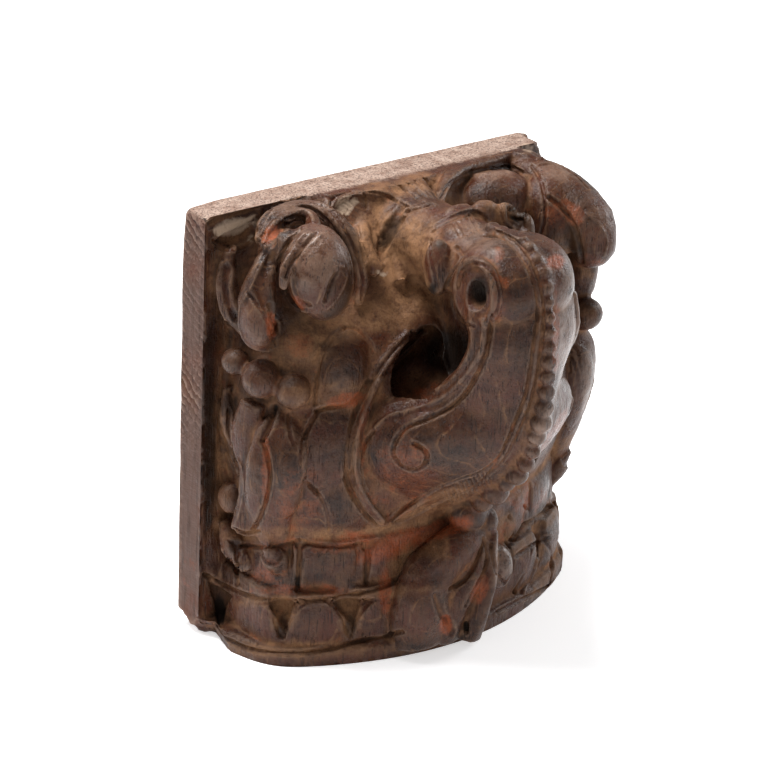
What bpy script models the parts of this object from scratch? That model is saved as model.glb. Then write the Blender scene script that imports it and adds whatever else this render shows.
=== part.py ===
"""A carved wooden corbel bracket, cut from one block of hardwood.

A flat board stands at the back. In front of it swells a bow-fronted bell on a base of two petal
rows, and a keeled scroll with a rolled head leans out of the middle. Every form is drawn on a
squared sheet, by how far it lies across from the middle line, ahead of the board's face and up
from the underside. The height, width and reach of the work give the squares their size. The
forms are fused into one solid, which is then cut true to its flat faces.
"""
import math

import bmesh
import bpy
from mathutils import Matrix, Vector

MM = 0.001

# Driving sizes in millimetres, which these and the next groups are given in
HEIGHT = 220.0
WIDTH = 217.0
BOARD_THICKNESS = 18.0
REACH = 124.0
PLINTH_HEIGHT = 9.0
PLINTH_HALF_WIDTH = 107.5
PLINTH_BOW = 78.0
PLINTH_ROUNDING = 1.5
TRIM_ALLOWANCE = 4.0

# The bow of the front: at this span from the middle line it has dropped back by this much
BOW_SPAN = 104.0
BOW_DROP = 36.8
CORNER_SHARPNESS = 24

# The side walls of the bell lean in towards the board, so a dark groove runs beside it
SIDE_UNDERCUT = 9.0
UNDERCUT_REACH = 40.0

# How finely the solid is fused, and how many triangles it keeps
FUSE_SIZE = 1.5
TRIANGLE_GOAL = 8800
SMOOTH_ROUNDS = 1

# The bell in squares: up, how far its middle stands ahead, half its width
BELL_LEVELS = (
    (-3, 73, 104), (34, 74, 104), (39, 68, 99), (60, 68, 100), (65, 66, 99), (85, 71, 103),
    (110, 71, 105), (130, 67, 104), (150, 61, 102), (165, 54, 100), (180, 41, 97), (200, 26, 95),
    (215, 15, 94), (224, 10, 92),
)

# The keel of the scroll from its root to the top of its head: ahead, up
KEEL = (
    (66, 61), (88, 83), (112, 109), (119, 128), (122, 144), (123, 160), (122, 180), (117, 199),
    (108, 212), (92, 218), (76, 216),
)

# The scroll's cross sections: up, keel ahead, then the edge of the flank as across and ahead,
# how far behind that edge the section goes and how far the flank swells out
SCROLL_SECTIONS = (
    (64, 67, 34, 58, 30, 0), (78, 81, 44, 59, 30, 1), (90, 95, 52, 58, 30, 3),
    (102, 106, 58, 57, 30, 7), (114, 113, 59, 57, 30, 10), (124, 117, 56, 57, 26, 11),
    (132, 119, 48, 60, 18, 10), (139, 120, 38, 73, 12, 7), (150, 121, 33, 87, 9, 5),
    (162, 121, 32, 96, 9, 4), (174, 121, 31, 101, 14, 4), (188, 119, 30, 98, 24, 4),
    (204, 111, 26, 92, 24, 4),
)
RIGHT_FLANK_FULLNESS = 1.18

# The head of the scroll and its eyes, in squares
HEAD_AHEAD = 94
HEAD_UP = 196
HEAD_HALF_WIDTH = 28
HEAD_RADII = (24, 22)
CHEEK_FLATNESS = 3.2
CHEEK_ROUNDING = 0.45

# The web that stands behind the scroll's neck, and the wider bridge behind its head:
# centre as across, ahead, up and half sizes
NECK_WEB = ((0, 52, 150), (7, 54, 46))
HEAD_BRIDGE = ((0, 42, 191), (23, 46, 22))
WEB_SOFTNESS = 0.3

EYE_AHEAD = 98
EYE_UP = 198
EYE_ACROSS = 25.5
EYE_RING = (13, 15)
EYE_RIM = 2.4
EYE_HOLE = (11, 5, 6)
CREST_BEADS = 25
FIRST_BEADS = (2.2, 1.9, 1.6, 1.3)
CREST_BEAD_RADIUS = 3.4
CREST_SINKING = 1.5

# The berries under the corners: across, ahead, up, radius
LEFT_BERRIES = ((100, 14, 151, 6.5), (95, 28, 146, 9.5), (86, 41, 142, 8.5))
RIGHT_BERRIES = ((101, 14, 151, 6.5), (99, 30, 145, 8.5), (99, 44, 141, 8.5))

FACE_Y = (BOARD_THICKNESS + REACH) / 2 - BOARD_THICKNESS

# The sheet is ruled in 217 squares across, 124 ahead and 220 up, whatever the size of the work
SQUARE = Vector((WIDTH / 217, REACH / 124, HEIGHT / 220))
MEAN_SQUARE = sum(SQUARE) / 3
SIDES = (-1, 1)


def spot(across, ahead, up):
    """A point given in millimetres across, ahead of the board's face and up, in metres."""
    return Vector((across * MM, FACE_Y * MM - ahead * MM, up * MM))


def place(across, ahead, up):
    """A point given in squares across, ahead of the board's face and up, in metres."""
    return spot(across * SQUARE.x, ahead * SQUARE.y, up * SQUARE.z)


def stretch(across, ahead, up):
    """The matrix that gives a unit shape its half sizes, which are in squares."""
    sizes = (across * SQUARE.x * MM, ahead * SQUARE.y * MM, up * SQUARE.z * MM, 1.0)
    return Matrix.Diagonal(sizes)


def clear_scene():
    for item in list(bpy.data.objects):
        bpy.data.objects.remove(item, do_unlink=True)
    for group in list(bpy.data.collections):
        bpy.data.collections.remove(group)


def new_collection(name):
    group = bpy.data.collections.new(name)
    bpy.context.scene.collection.children.link(group)
    return group


def add_form(shape, forms):
    """Keep one closed form with its faces outwards."""
    bmesh.ops.recalc_face_normals(shape, faces=shape.faces)
    mesh = bpy.data.meshes.new("form")
    shape.to_mesh(mesh)
    shape.free()
    forms.append(mesh)


def ball(forms, centre, radii, tilt=(0, 0, 0), rounds=3):
    """An ellipsoid drawn in squares; tilt turns it about X, Y and Z in degrees."""
    shape = bmesh.new()
    bmesh.ops.create_icosphere(shape, subdivisions=rounds, radius=1.0)
    turn = Matrix.Rotation(math.radians(tilt[2]), 4, "Z")
    turn @= Matrix.Rotation(math.radians(tilt[1]), 4, "Y")
    turn @= Matrix.Rotation(math.radians(tilt[0]), 4, "X")
    shape.transform(Matrix.Translation(place(*centre)) @ turn @ stretch(*radii))
    add_form(shape, forms)


def tile(forms, centre, half_sizes, softness):
    """A block drawn in squares; softness is its rounding as a share of its least half size."""
    shape = bmesh.new()
    bmesh.ops.create_cube(shape, size=2.0)
    shape.transform(stretch(*half_sizes))
    rounding = min(half_sizes) * softness * MEAN_SQUARE * MM
    bmesh.ops.bevel(shape, geom=shape.edges[:], offset=rounding, segments=3, profile=0.5, affect="EDGES")
    shape.transform(Matrix.Translation(place(*centre)))
    add_form(shape, forms)


def smooth_path(points, steps):
    """A smooth curve through the points, with the given number of steps to each stretch."""
    path = [Vector(point) for point in points]
    ends = [2 * path[0] - path[1]] + path + [2 * path[-1] - path[-2]]
    result = []
    for index in range(1, len(ends) - 2):
        before, start, stop, after = ends[index - 1:index + 3]
        for step in range(steps):
            t = step / steps
            result.append(0.5 * (2 * start + (stop - before) * t
                                 + (2 * before - 5 * start + 4 * stop - after) * t * t
                                 + (3 * start - before - 3 * stop + after) * t ** 3))
    result.append(path[-1])
    return result


def skin(forms, rings):
    """A closed form through rings of points, with both ends filled."""
    shape = bmesh.new()
    levels = [[shape.verts.new(point) for point in ring] for ring in rings]
    count = len(rings[0])
    for lower, upper in zip(levels, levels[1:]):
        for index in range(count):
            after = (index + 1) % count
            shape.faces.new((lower[index], lower[after], upper[after], upper[index]))
    shape.faces.new(levels[0])
    shape.faces.new(levels[-1])
    add_form(shape, forms)


def limb(forms, points, widths, depths, facing, steps=4, around=12):
    """A flat or round strand through points that are drawn in squares."""
    strand(forms, [place(*point) for point in points], widths, depths, facing, steps, around)


def strand(forms, places, widths, depths, facing, steps, around):
    """Half the strand's width lies across its path, and half its depth along facing."""
    centres = smooth_path(places, steps)
    outward = Vector((facing[0], -facing[1], facing[2])).normalized()
    last = len(centres) - 1
    rings = []
    for index, centre in enumerate(centres):
        along = centres[min(index + 1, last)] - centres[max(index - 1, 0)]
        side = along.cross(outward).normalized()
        face = side.cross(along).normalized()
        width = blend(widths, index / last) * MEAN_SQUARE * MM
        depth = blend(depths, index / last) * MEAN_SQUARE * MM
        ring = []
        for part in range(around):
            angle = math.tau * part / around
            ring.append(centre + side * width * math.cos(angle) + face * depth * math.sin(angle))
        rings.append(ring)
    skin(forms, rings)


def blend(values, share):
    """The value at a share of the way along a short list of values."""
    spot = share * (len(values) - 1)
    index = min(int(spot), len(values) - 2)
    part = spot - index
    return values[index] * (1 - part) + values[index + 1] * part


def bow_ahead(across, middle, half_width):
    """How far a bow-fronted section stands ahead: a shallow arch with quickly rounded corners."""
    arch = middle - BOW_DROP * (across / BOW_SPAN) ** 2
    return arch * (1 - min(abs(across) / half_width, 1.0) ** CORNER_SHARPNESS)


def bow_ring(up, middle, half_width, undercut, steps=36):
    """One level of a bow-fronted form, in millimetres."""
    narrow = half_width - SIDE_UNDERCUT if undercut else half_width
    ring = [spot(narrow, -TRIM_ALLOWANCE, up), spot(-narrow, -TRIM_ALLOWANCE, up)]
    for index in range(1, steps):
        across = -half_width * math.cos(math.pi * index / steps)
        ahead = bow_ahead(across, middle, half_width)
        if undercut:
            across -= math.copysign(SIDE_UNDERCUT * max(0.0, 1 - ahead / UNDERCUT_REACH), across)
        ring.append(spot(across, ahead, up))
    return ring


def add_board(forms):
    size = Vector((WIDTH + 2 * TRIM_ALLOWANCE, BOARD_THICKNESS + TRIM_ALLOWANCE, HEIGHT + 2 * TRIM_ALLOWANCE))
    board = bmesh.new()
    bmesh.ops.create_cube(board, size=1.0)
    centre = spot(0, -size.y / 2, HEIGHT / 2)
    board.transform(Matrix.Translation(centre) @ Matrix.Diagonal((*(size * MM), 1.0)))
    add_form(board, forms)


def add_bell(forms):
    levels = [(up * SQUARE.z, ahead * SQUARE.y, across * SQUARE.x) for up, ahead, across in BELL_LEVELS]
    skin(forms, [bow_ring(*level, True) for level in levels])
    plinth = [(-TRIM_ALLOWANCE, 0), (PLINTH_HEIGHT - PLINTH_ROUNDING, 0), (PLINTH_HEIGHT, -PLINTH_ROUNDING)]
    skin(forms, [bow_ring(up, PLINTH_BOW + inset, PLINTH_HALF_WIDTH + inset, False) for up, inset in plinth])


def bow_path(middle, half_width, count=200):
    """Points along one half of a bow front, from the board round the corner to the middle."""
    points = []
    for index in range(count + 1):
        across = half_width * math.cos(math.pi / 2 * index / count)
        points.append(Vector((across, bow_ahead(across, middle, half_width))))
    return points


def spot_on_bow(path, length):
    """The point at a length along a bow path, and the heading of the path there in degrees."""
    run = 0.0
    for start, stop in zip(path, path[1:]):
        step = (stop - start).length
        if run + step >= length:
            share = (length - run) / step
            heading = math.degrees(math.atan2(stop.y - start.y, start.x - stop.x))
            return start.lerp(stop, share), heading
        run += step
    return path[-1], 0.0


def add_darts(forms, middle, half_width, lengths, levels, widths, depth):
    """Cuts between the petals of a row, at the given lengths along the bow from the board."""
    path = bow_path(middle * SQUARE.y, half_width * SQUARE.x)
    for side in SIDES:
        for length in lengths:
            point, heading = spot_on_bow(path, length * SQUARE.x)
            normal = (side * math.sin(math.radians(heading)), math.cos(math.radians(heading)), 0)
            places = [spot(side * point.x, point.y, up * SQUARE.z) for up in levels]
            strand(forms, places, widths, (depth, depth, depth * 0.4), normal, 3, 8)


def add_base(forms):
    for side in SIDES:
        limb(forms, [(side * 96, 3, 62), (side * 96, 12, 52), (side * 95, 20, 42)], (3, 6, 3), (4, 6, 4),
             (side, 0.4, 0))
        ball(forms, (side * 97, 9, 77), (6, 7, 8))


def add_base_leaf(forms):
    """The curled leaf that covers the middle of the base, with its foot and its knob."""
    limb(forms, [(12, 72, 60), (-8, 76, 54), (-24, 75, 42), (-30, 76, 24), (-29, 74, 5)],
         (5, 11, 14, 15, 13), (6, 9, 10, 10, 7), (-0.3, 1, 0.2))
    limb(forms, [(10, 74, 56), (-6, 80, 38), (-14, 79, 20), (-13, 76, 4)],
         (4, 8, 9, 8), (6, 9, 8, 6), (0, 1, 0.2))
    limb(forms, [(12, 75, 56), (4, 83, 36), (0, 84, 20), (-1, 80, 3)],
         (4, 5, 5, 7), (6, 8, 7, 6), (0.1, 1, 0.2))
    ball(forms, (16, 79, 36), (8, 8, 12))
    ball(forms, (10, 74, 62), (6, 8, 8))


def add_scroll(forms):
    """The keeled scroll: flanks from the keel back to an edge, then in behind it."""
    rings = []
    for up, keel, across, ahead, behind, swell in SCROLL_SECTIONS:
        half = []
        fall = keel - ahead
        slant = math.hypot(across, fall)
        for step in range(9):
            t = step / 8
            bulge = swell * math.sin(math.pi * t ** 1.2)
            half.append((across * t + bulge * fall / slant, keel - fall * t + bulge * across / slant))
        half[0] = (0, keel)
        half.append((across * 0.8, ahead - behind * 0.6))
        half.append((across * 0.4, ahead - behind))
        ring = [place(x * RIGHT_FLANK_FULLNESS, y, up) for x, y in half]
        ring += [place(-x, y, up) for x, y in reversed(half[1:])]
        rings.append(ring)
    skin(forms, rings)
    tile(forms, *NECK_WEB, WEB_SOFTNESS)
    tile(forms, *HEAD_BRIDGE, WEB_SOFTNESS)
    for side in SIDES:
        limb(forms, [(side * 44, 61, 70), (side * 29, 67, 80), (side * 16, 78, 91), (side * 5, 95, 104)],
             (2, 3, 3, 2), (3, 4, 4, 3), (side * 0.3, 1, -0.3))
    add_head(forms)


def add_head(forms, steps=18, around=28):
    """The rolled head: a barrel that lies across, with flattened cheeks."""
    rings = []
    for index in range(steps + 1):
        share = math.sin(math.pi * (index / steps - 0.5)) * 0.985
        barrel = (1 - abs(share) ** CHEEK_FLATNESS) ** CHEEK_ROUNDING
        ring = []
        for part in range(around):
            angle = math.tau * part / around
            ring.append(place(HEAD_HALF_WIDTH * share, HEAD_AHEAD + HEAD_RADII[0] * barrel * math.cos(angle),
                              HEAD_UP + HEAD_RADII[1] * barrel * math.sin(angle)))
        rings.append(ring)
    skin(forms, rings)


def add_crest(forms):
    """A beaded ridge along the keel."""
    ridge = [(0, ahead - 2, up) for ahead, up in KEEL[1:]]
    limb(forms, ridge, (2.2, 2.2), (2.5, 2.5), (0.01, 0, 1), around=8)
    line = smooth_path([place(0, ahead - CREST_SINKING, up) for ahead, up in KEEL], 10)
    lengths = [0.0]
    for start, stop in zip(line, line[1:]):
        lengths.append(lengths[-1] + (stop - start).length)
    sizes = [FIRST_BEADS[bead] if bead < len(FIRST_BEADS) else 1 for bead in range(CREST_BEADS)]
    for bead, size in enumerate(sizes):
        goal = lengths[-1] * (sum(sizes[:bead]) + size / 2) / sum(sizes)
        index = next(i for i in range(1, len(lengths)) if lengths[i] >= goal)
        share = (goal - lengths[index - 1]) / (lengths[index] - lengths[index - 1])
        middle = line[index - 1].lerp(line[index], share)
        shape = bmesh.new()
        bmesh.ops.create_icosphere(shape, subdivisions=2, radius=CREST_BEAD_RADIUS * size * MEAN_SQUARE * MM)
        shape.transform(Matrix.Translation(middle))
        add_form(shape, forms)


def add_eye_rings(forms):
    for side in SIDES:
        points = []
        for step in range(13):
            angle = math.tau * step / 12
            points.append((side * EYE_ACROSS, EYE_AHEAD + EYE_RING[0] * math.cos(angle),
                           EYE_UP + EYE_RING[1] * math.sin(angle)))
        limb(forms, points, (EYE_RIM, EYE_RIM), (3, 3), (side, 0, 0), steps=2, around=8)


def add_frill(forms):
    """Lobes of the leaf that wraps the back of the scroll's head."""
    lobes = (
        (-21, 66, 198, 7, 9, 15), (-9, 60, 209, 9, 9, 8), (4, 50, 212, 10, 8, 7), (17, 50, 213, 7, 8, 6),
        (26, 54, 210, 6, 8, 7), (31, 62, 203, 5, 7, 10),
    )
    for across, ahead, up, wide, deep, tall in lobes:
        ball(forms, (across, ahead, up), (wide, deep, tall))


def add_left_corner(forms):
    """The upper left corner: hooded egg-shaped bud, hooked petal and two hanging petals."""
    side = -1

    def out(points):
        return [(side * across, ahead, up) for across, ahead, up in points]

    ball(forms, (side * 74, 42, 200), (16, 16, 23), tilt=(-24, 0, 0))
    ball(forms, (side * 82, 22, 208), (10, 16, 7), tilt=(-30, side * 20, 0))
    hood = [(88, 14, 208), (81, 9, 214), (71, 7, 217), (58, 6, 218), (50, 13, 216), (46, 24, 210),
            (43, 31, 200), (43, 36, 188), (48, 40, 177)]
    limb(forms, out(hood), (2, 3.5, 4, 4, 4, 4, 4, 3.5, 2), (2, 4, 4, 4, 4, 4, 4, 4, 2),
         (0, 1, 0.3))
    hook = [(87, 33, 190), (84, 31, 202), (74, 27, 212), (66, 22, 215), (71, 18, 217), (82, 16, 216),
            (89, 20, 211)]
    limb(forms, out(hook), (1.5, 2.5, 2.5, 2.5, 2.5, 2.5, 1.5), (2, 3, 3, 3, 3, 3, 2), (0.2, 1, 0.4))
    limb(forms, out([(80, 18, 212), (91, 24, 200), (97, 26, 185), (98, 28, 170), (93, 29, 161)]),
         (2, 6, 9, 8, 3), (3, 7, 8, 8, 3), (side, 1, 0))
    limb(forms, out([(95, 3, 205), (99, 5, 190), (99, 9, 176), (95, 15, 164)]), (2, 5, 6, 2), (3, 5, 5, 3),
         (side, 0.5, 0))


def add_right_corner(forms):
    """The same corner on the right, which the carver made fuller and turned further out."""
    ball(forms, (80, 33, 195), (15, 14, 22), tilt=(-24, 0, 0))
    limb(forms, [(82, 4, 212), (86, 17, 210), (91, 33, 203), (93, 45, 192), (92, 50, 180), (90, 48, 171)],
         (8, 12, 15, 15.5, 12, 4), (5, 8, 11, 14, 13, 4), (0.5, 1, 0.5))
    strap = [(97, 12, 211), (89, 6, 215.5), (81, 4, 218), (83, 9, 216.5), (87, 15, 211), (89, 21, 202),
             (86, 29, 194), (78, 37, 184)]
    limb(forms, strap, (2, 3, 3.5, 4, 4, 4, 3.5, 2), (2, 3, 3.5, 4, 4, 4, 4, 2), (0, 1, 0.3))
    ball(forms, (56, 17, 203), (21, 15, 14), tilt=(-24, 0, 0))
    limb(forms, [(12, 25, 213), (26, 14, 217), (37, 8, 217.5), (47, 5, 217.5), (60, 4, 217.5), (80, 3, 217)],
         (2, 3, 3.5, 4, 4, 3), (3, 4, 4, 4, 4, 2), (0, 1, 0.3))
    limb(forms, [(104, 3, 205), (103, 6, 190), (103, 10, 176), (100, 15, 164)], (2, 5, 5, 2), (3, 5, 5, 3),
         (1, 0.5, 0))


def add_berries(forms, side):
    for across, ahead, up, radius in LEFT_BERRIES if side < 0 else RIGHT_BERRIES:
        ball(forms, (side * across, ahead, up), (radius, radius, radius))


def add_ribbons(forms, side):
    """The hanging ribbons at the corner of the bell."""
    limb(forms, [(side * 98, 26, 134), (side * 99, 24, 118), (side * 98, 27, 100), (side * 98, 26, 84),
                 (side * 99, 23, 66)], (6, 9, 7, 6, 7), (4, 5, 5, 5, 6), (side, 0.35, 0))
    limb(forms, [(side * 97, 5, 134), (side * 98, 8, 118), (side * 98, 14, 106)], (2, 5, 2), (3, 5, 3),
         (side, 0.2, 0))


def add_corner_blade(forms, side):
    """The smooth leaf that rounds the front corner of the bell, and the tip below it."""
    out = 4 if side > 0 else 0
    limb(forms, [(side * (90 + out), 35, 62), (side * (95 + out), 38, 84), (side * (96 + out), 42, 106),
                 (side * (92 + out), 41, 122), (side * (86 + out), 38, 130)],
         (7, 12, 14, 12, 5), (4, 5, 5, 4, 2), (side * 0.7, 0.7, 0))
    limb(forms, [(side * 84, 37, 50), (side * 93, 39, 57), (side * 99, 40, 63)], (7, 5, 1.5), (5, 4, 1.5),
         (side * 0.7, 0.7, 0.3))


def add_inner_leaf(forms):
    """The leaf between the left corner and the middle: arched rim, stem and blade."""
    def out(points):
        return [(-across, ahead, up) for across, ahead, up in points]

    limb(forms, out([(43, 8, 213), (38, 6, 218), (29, 6, 219), (18, 9, 218), (6, 14, 214), (-1, 19, 208)]),
         (2, 3, 3, 3, 3, 2), (2, 4, 4, 4, 4, 3), (0, 1, 0.3))
    limb(forms, out([(28, 16, 210), (26, 27, 197), (30, 34, 184)]), (2, 3.5, 3), (3, 4, 4), (0, 1, 0.3))
    limb(forms, out([(8, 20, 208), (16, 30, 196), (22, 40, 182)]), (3, 6, 4), (3, 4, 4), (0, 1, 0.3))


def add_bell_petals(forms, side):
    """Low overlapping petals on the flank of the bell."""
    ball(forms, (side * 58, 43, 150), (15, 9, 18), tilt=(-12, 0, side * 18))
    ball(forms, (side * 74, 41, 112), (14, 11, 24), tilt=(0, 0, side * 24))
    limb(forms, [(side * 27, 53, 163), (side * 44, 54, 149), (side * 56, 57, 131), (side * 61, 58, 112),
                 (side * 58, 60, 91), (side * 45, 62, 70)],
         (2, 3, 3, 3, 3, 2), (2, 4, 4, 4, 4, 3), (side * 0.4, 1, 0))


def add_middle_fan(forms):
    limb(forms, [(8, 2, 217), (6, 14, 215), (2, 34, 212)], (12, 9, 5), (3, 4, 4), (0, 0.2, 1))


def fuse(name, forms, group):
    """Join the forms into one mesh object."""
    joined = bmesh.new()
    for mesh in forms:
        joined.from_mesh(mesh)
    result = bpy.data.meshes.new(name)
    joined.to_mesh(result)
    joined.free()
    for mesh in forms:
        bpy.data.meshes.remove(mesh)
    item = bpy.data.objects.new(name, result)
    group.objects.link(item)
    return item


def hide_guide(item):
    item.hide_render = True
    item.display_type = "WIRE"


def pocket_cutter(group):
    """The hollows behind the scroll's neck, the eyes of its head and the darts between petals."""
    forms = []
    for side in SIDES:
        ball(forms, (side * 28, 43, 148), (13, 34, 25), tilt=(0, -side * 45, 0))
        ball(forms, (side * 25, 61, 142), (15, 26, 14))
        ball(forms, (side * (EYE_ACROSS + 5), EYE_AHEAD + 1, EYE_UP - 1), EYE_HOLE)
    add_darts(forms, 75, 104, (12, 46, 80), (42, 30, 13), (11, 5, 1.5), 6)
    add_darts(forms, 70, 100, (22, 46, 80), (63, 52, 40), (1.5, 2, 5), 4)
    cutter = fuse("pockets", forms, group)
    add_voxel_skin(cutter, "one skin")
    hide_guide(cutter)
    return cutter


def trim_block(group):
    """The true box of the work: flat back, sides, top and underside."""
    shape = bmesh.new()
    bmesh.ops.create_cube(shape, size=1.0)
    depth = BOARD_THICKNESS + REACH + TRIM_ALLOWANCE
    shape.transform(Matrix.Translation((0, (-TRIM_ALLOWANCE / 2) * MM, HEIGHT / 2 * MM))
                    @ Matrix.Diagonal((WIDTH * MM, depth * MM, HEIGHT * MM, 1.0)))
    mesh = bpy.data.meshes.new("true_box")
    shape.to_mesh(mesh)
    shape.free()
    item = bpy.data.objects.new("true_box", mesh)
    group.objects.link(item)
    hide_guide(item)
    return item


def wood():
    material = bpy.data.materials.new("aged_hardwood")
    material.use_nodes = True
    shader = material.node_tree.nodes["Principled BSDF"]
    shader.inputs["Base Color"].default_value = (0.062, 0.030, 0.019, 1.0)
    shader.inputs["Roughness"].default_value = 0.5
    shader.inputs["Metallic"].default_value = 0.0
    return material


def add_voxel_skin(item, name):
    merge = item.modifiers.new(name, "REMESH")
    merge.mode = "VOXEL"
    merge.voxel_size = FUSE_SIZE * MM


def add_modifiers(item, pockets, box):
    """Fuse the forms, cut the hollows, thin out the faces and cut the work true."""
    add_voxel_skin(item, "fused forms")
    hollow = item.modifiers.new("pockets", "BOOLEAN")
    hollow.operation = "DIFFERENCE"
    hollow.solver = "EXACT"
    hollow.object = pockets
    add_voxel_skin(item, "one skin")
    soften = item.modifiers.new("soft joins", "SMOOTH")
    soften.factor = 0.5
    soften.iterations = SMOOTH_ROUNDS
    evaluated = item.evaluated_get(bpy.context.evaluated_depsgraph_get())
    faces = sum(len(face.vertices) - 2 for face in evaluated.data.polygons)
    thin = item.modifiers.new("fewer faces", "DECIMATE")
    thin.ratio = TRIANGLE_GOAL / faces
    trim = item.modifiers.new("true faces", "BOOLEAN")
    trim.operation = "INTERSECT"
    trim.solver = "EXACT"
    trim.object = box


def build():
    clear_scene()
    work = new_collection("carved_corbel_bracket")
    guides = new_collection("guides")
    forms = []
    add_board(forms)
    add_bell(forms)
    add_base(forms)
    add_base_leaf(forms)
    add_scroll(forms)
    add_crest(forms)
    add_eye_rings(forms)
    add_frill(forms)
    add_middle_fan(forms)
    add_left_corner(forms)
    add_inner_leaf(forms)
    add_right_corner(forms)
    for side in SIDES:
        add_berries(forms, side)
        add_ribbons(forms, side)
        add_corner_blade(forms, side)
        add_bell_petals(forms, side)
    corbel = fuse("carved_corbel", forms, work)
    corbel.data.materials.append(wood())
    add_modifiers(corbel, pocket_cutter(guides), trim_block(guides))


build()
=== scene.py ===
"""The carved corbel as it looks: dark waxed hardwood with dusty hollows and traces of old paint.

The same forms as the solid are laid out from the same sizes and fused finely. The skin is then
worked in passes, as a carver would: deep cuts, engraved lines and rims, tool marks and wear.
Lines that show in the photograph are drawn on its frame and carried onto the wood from the eye.
"""
import math

import bmesh
import bpy
import numpy as np
from mathutils import Matrix, Vector
from mathutils.bvhtree import BVHTree


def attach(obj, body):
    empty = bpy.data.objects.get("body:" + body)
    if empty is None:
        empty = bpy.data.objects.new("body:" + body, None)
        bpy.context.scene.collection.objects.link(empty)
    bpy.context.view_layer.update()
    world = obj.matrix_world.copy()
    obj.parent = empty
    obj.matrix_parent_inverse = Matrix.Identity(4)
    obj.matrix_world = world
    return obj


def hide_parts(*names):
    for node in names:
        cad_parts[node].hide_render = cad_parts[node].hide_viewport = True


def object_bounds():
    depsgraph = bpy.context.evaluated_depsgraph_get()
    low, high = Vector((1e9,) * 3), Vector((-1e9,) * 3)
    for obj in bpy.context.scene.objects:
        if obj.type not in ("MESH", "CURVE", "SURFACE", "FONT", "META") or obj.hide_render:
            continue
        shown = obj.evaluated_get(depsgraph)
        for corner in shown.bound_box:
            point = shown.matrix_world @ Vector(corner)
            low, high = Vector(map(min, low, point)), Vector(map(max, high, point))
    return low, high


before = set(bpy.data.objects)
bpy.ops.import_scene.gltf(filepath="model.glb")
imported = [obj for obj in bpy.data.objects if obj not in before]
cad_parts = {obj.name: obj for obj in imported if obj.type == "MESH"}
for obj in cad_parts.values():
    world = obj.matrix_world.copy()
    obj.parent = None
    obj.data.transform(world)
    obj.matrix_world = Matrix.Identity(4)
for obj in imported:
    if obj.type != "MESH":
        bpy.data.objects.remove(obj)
cad_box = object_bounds()

MM = 0.001

# The whole work, from the frame's own box
LOW, HIGH = (np.array(corner) / MM for corner in cad_box)
WIDTH = HIGH[0] - LOW[0]
HEIGHT = HIGH[2] - LOW[2]
BOARD_THICKNESS = 18.0
BACK_Y = HIGH[1]
FACE_Y = BACK_Y - BOARD_THICKNESS
SIDES = (-1, 1)

# Sizes in millimetres
PLINTH_HEIGHT = 9.0
PLINTH_HALF_WIDTH = 107.5
PLINTH_BOW = 78.0
PLINTH_ROUNDING = 1.5
BOW_SPAN = 104.0
BOW_DROP = 36.8
CORNER_SHARPNESS = 24
SIDE_UNDERCUT = 9.0
UNDERCUT_REACH = 40.0
TRIM_ALLOWANCE = 4.0
LONGEST_STEP = 7.0
ROUGH_SKIN = 1.0
FINE_SKIN = 0.8
TRIANGLE_GOAL = 190000
SPLINTER_WIDTH = 1.8

# The bell: up, how far its middle stands ahead, half its width
BELL_LEVELS = (
    (-3, 73, 104), (34, 74, 104), (39, 68, 99), (60, 68, 100), (65, 66, 99), (85, 71, 103),
    (110, 71, 105), (130, 67, 104), (150, 61, 102), (165, 54, 100), (180, 41, 97), (200, 26, 95),
    (215, 15, 94), (224, 10, 92),
)

# The keel of the scroll from its root to the top of its head: ahead, up
KEEL = ((66, 61), (88, 83), (112, 109), (119, 128), (122, 144), (123, 160), (122, 180), (118, 199),
        (109, 213), (93, 219), (76, 217))

# The scroll's cross sections: up, keel ahead, flank edge across and ahead, how far behind, swell
SCROLL_SECTIONS = (
    (64, 67, 34, 58, 30, 0), (78, 81, 44, 59, 30, 1), (90, 95, 52, 58, 30, 3), (102, 106, 58, 57, 30, 7),
    (114, 113, 59, 57, 30, 10), (124, 117, 56, 57, 26, 11), (132, 119, 48, 60, 18, 10),
    (139, 120, 38, 73, 12, 7), (150, 121, 33, 87, 9, 5), (162, 121, 32, 96, 9, 4),
    (174, 121, 31, 101, 14, 4), (188, 119, 30, 98, 24, 4), (200, 114, 28, 94, 24, 4),
    (210, 108, 24, 90, 24, 4),
)
RIGHT_FLANK_FULLNESS = 1.18
HEAD_AHEAD = 94.0
HEAD_UP = 196.0
HEAD_HALF_WIDTH = 28.0
HEAD_RADII = (24.0, 22.0)
CHEEK_FLATNESS = 3.2
CHEEK_ROUNDING = 0.45
EYE_AHEAD = 98.0
EYE_UP = 198.0
EYE_ACROSS = 25.5
EYE_RING = (13.0, 15.0)
CREST_BEADS = 25
CREST_BEAD_RADIUS = 3.5
CREST_CROWDING = 0.75
CREST_UNEVENNESS = 0.22
CREST_SEED = 4
CREST_SINKING = 1.2
SWELL_FULLNESS = 0.8
RIDGE_SINKING = 2.2
RIDGE_HALF_WIDTHS = (2.4, 2.2)

LEFT_BERRIES = ((100, 14, 151, 6.5), (95, 28, 146, 9.5), (86, 41, 142, 8.5))
RIGHT_BERRIES = ((101, 14, 151, 6.5), (99, 30, 145, 8.5), (99, 44, 141, 8.5))

# The photograph's view
PHOTO_SIZE = 768
EYE_TURN = -40.15
EYE_RISE = 23.65
EYE_ROLL = 2.66
EYE_DISTANCE = 1337.6
EYE_TARGET = np.array((0.0, 52.5, 110.0))
FOCAL_PIXELS = 2667.0
SHIFT_RIGHT = 5.8
SHIFT_UP = 0.1


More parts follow.
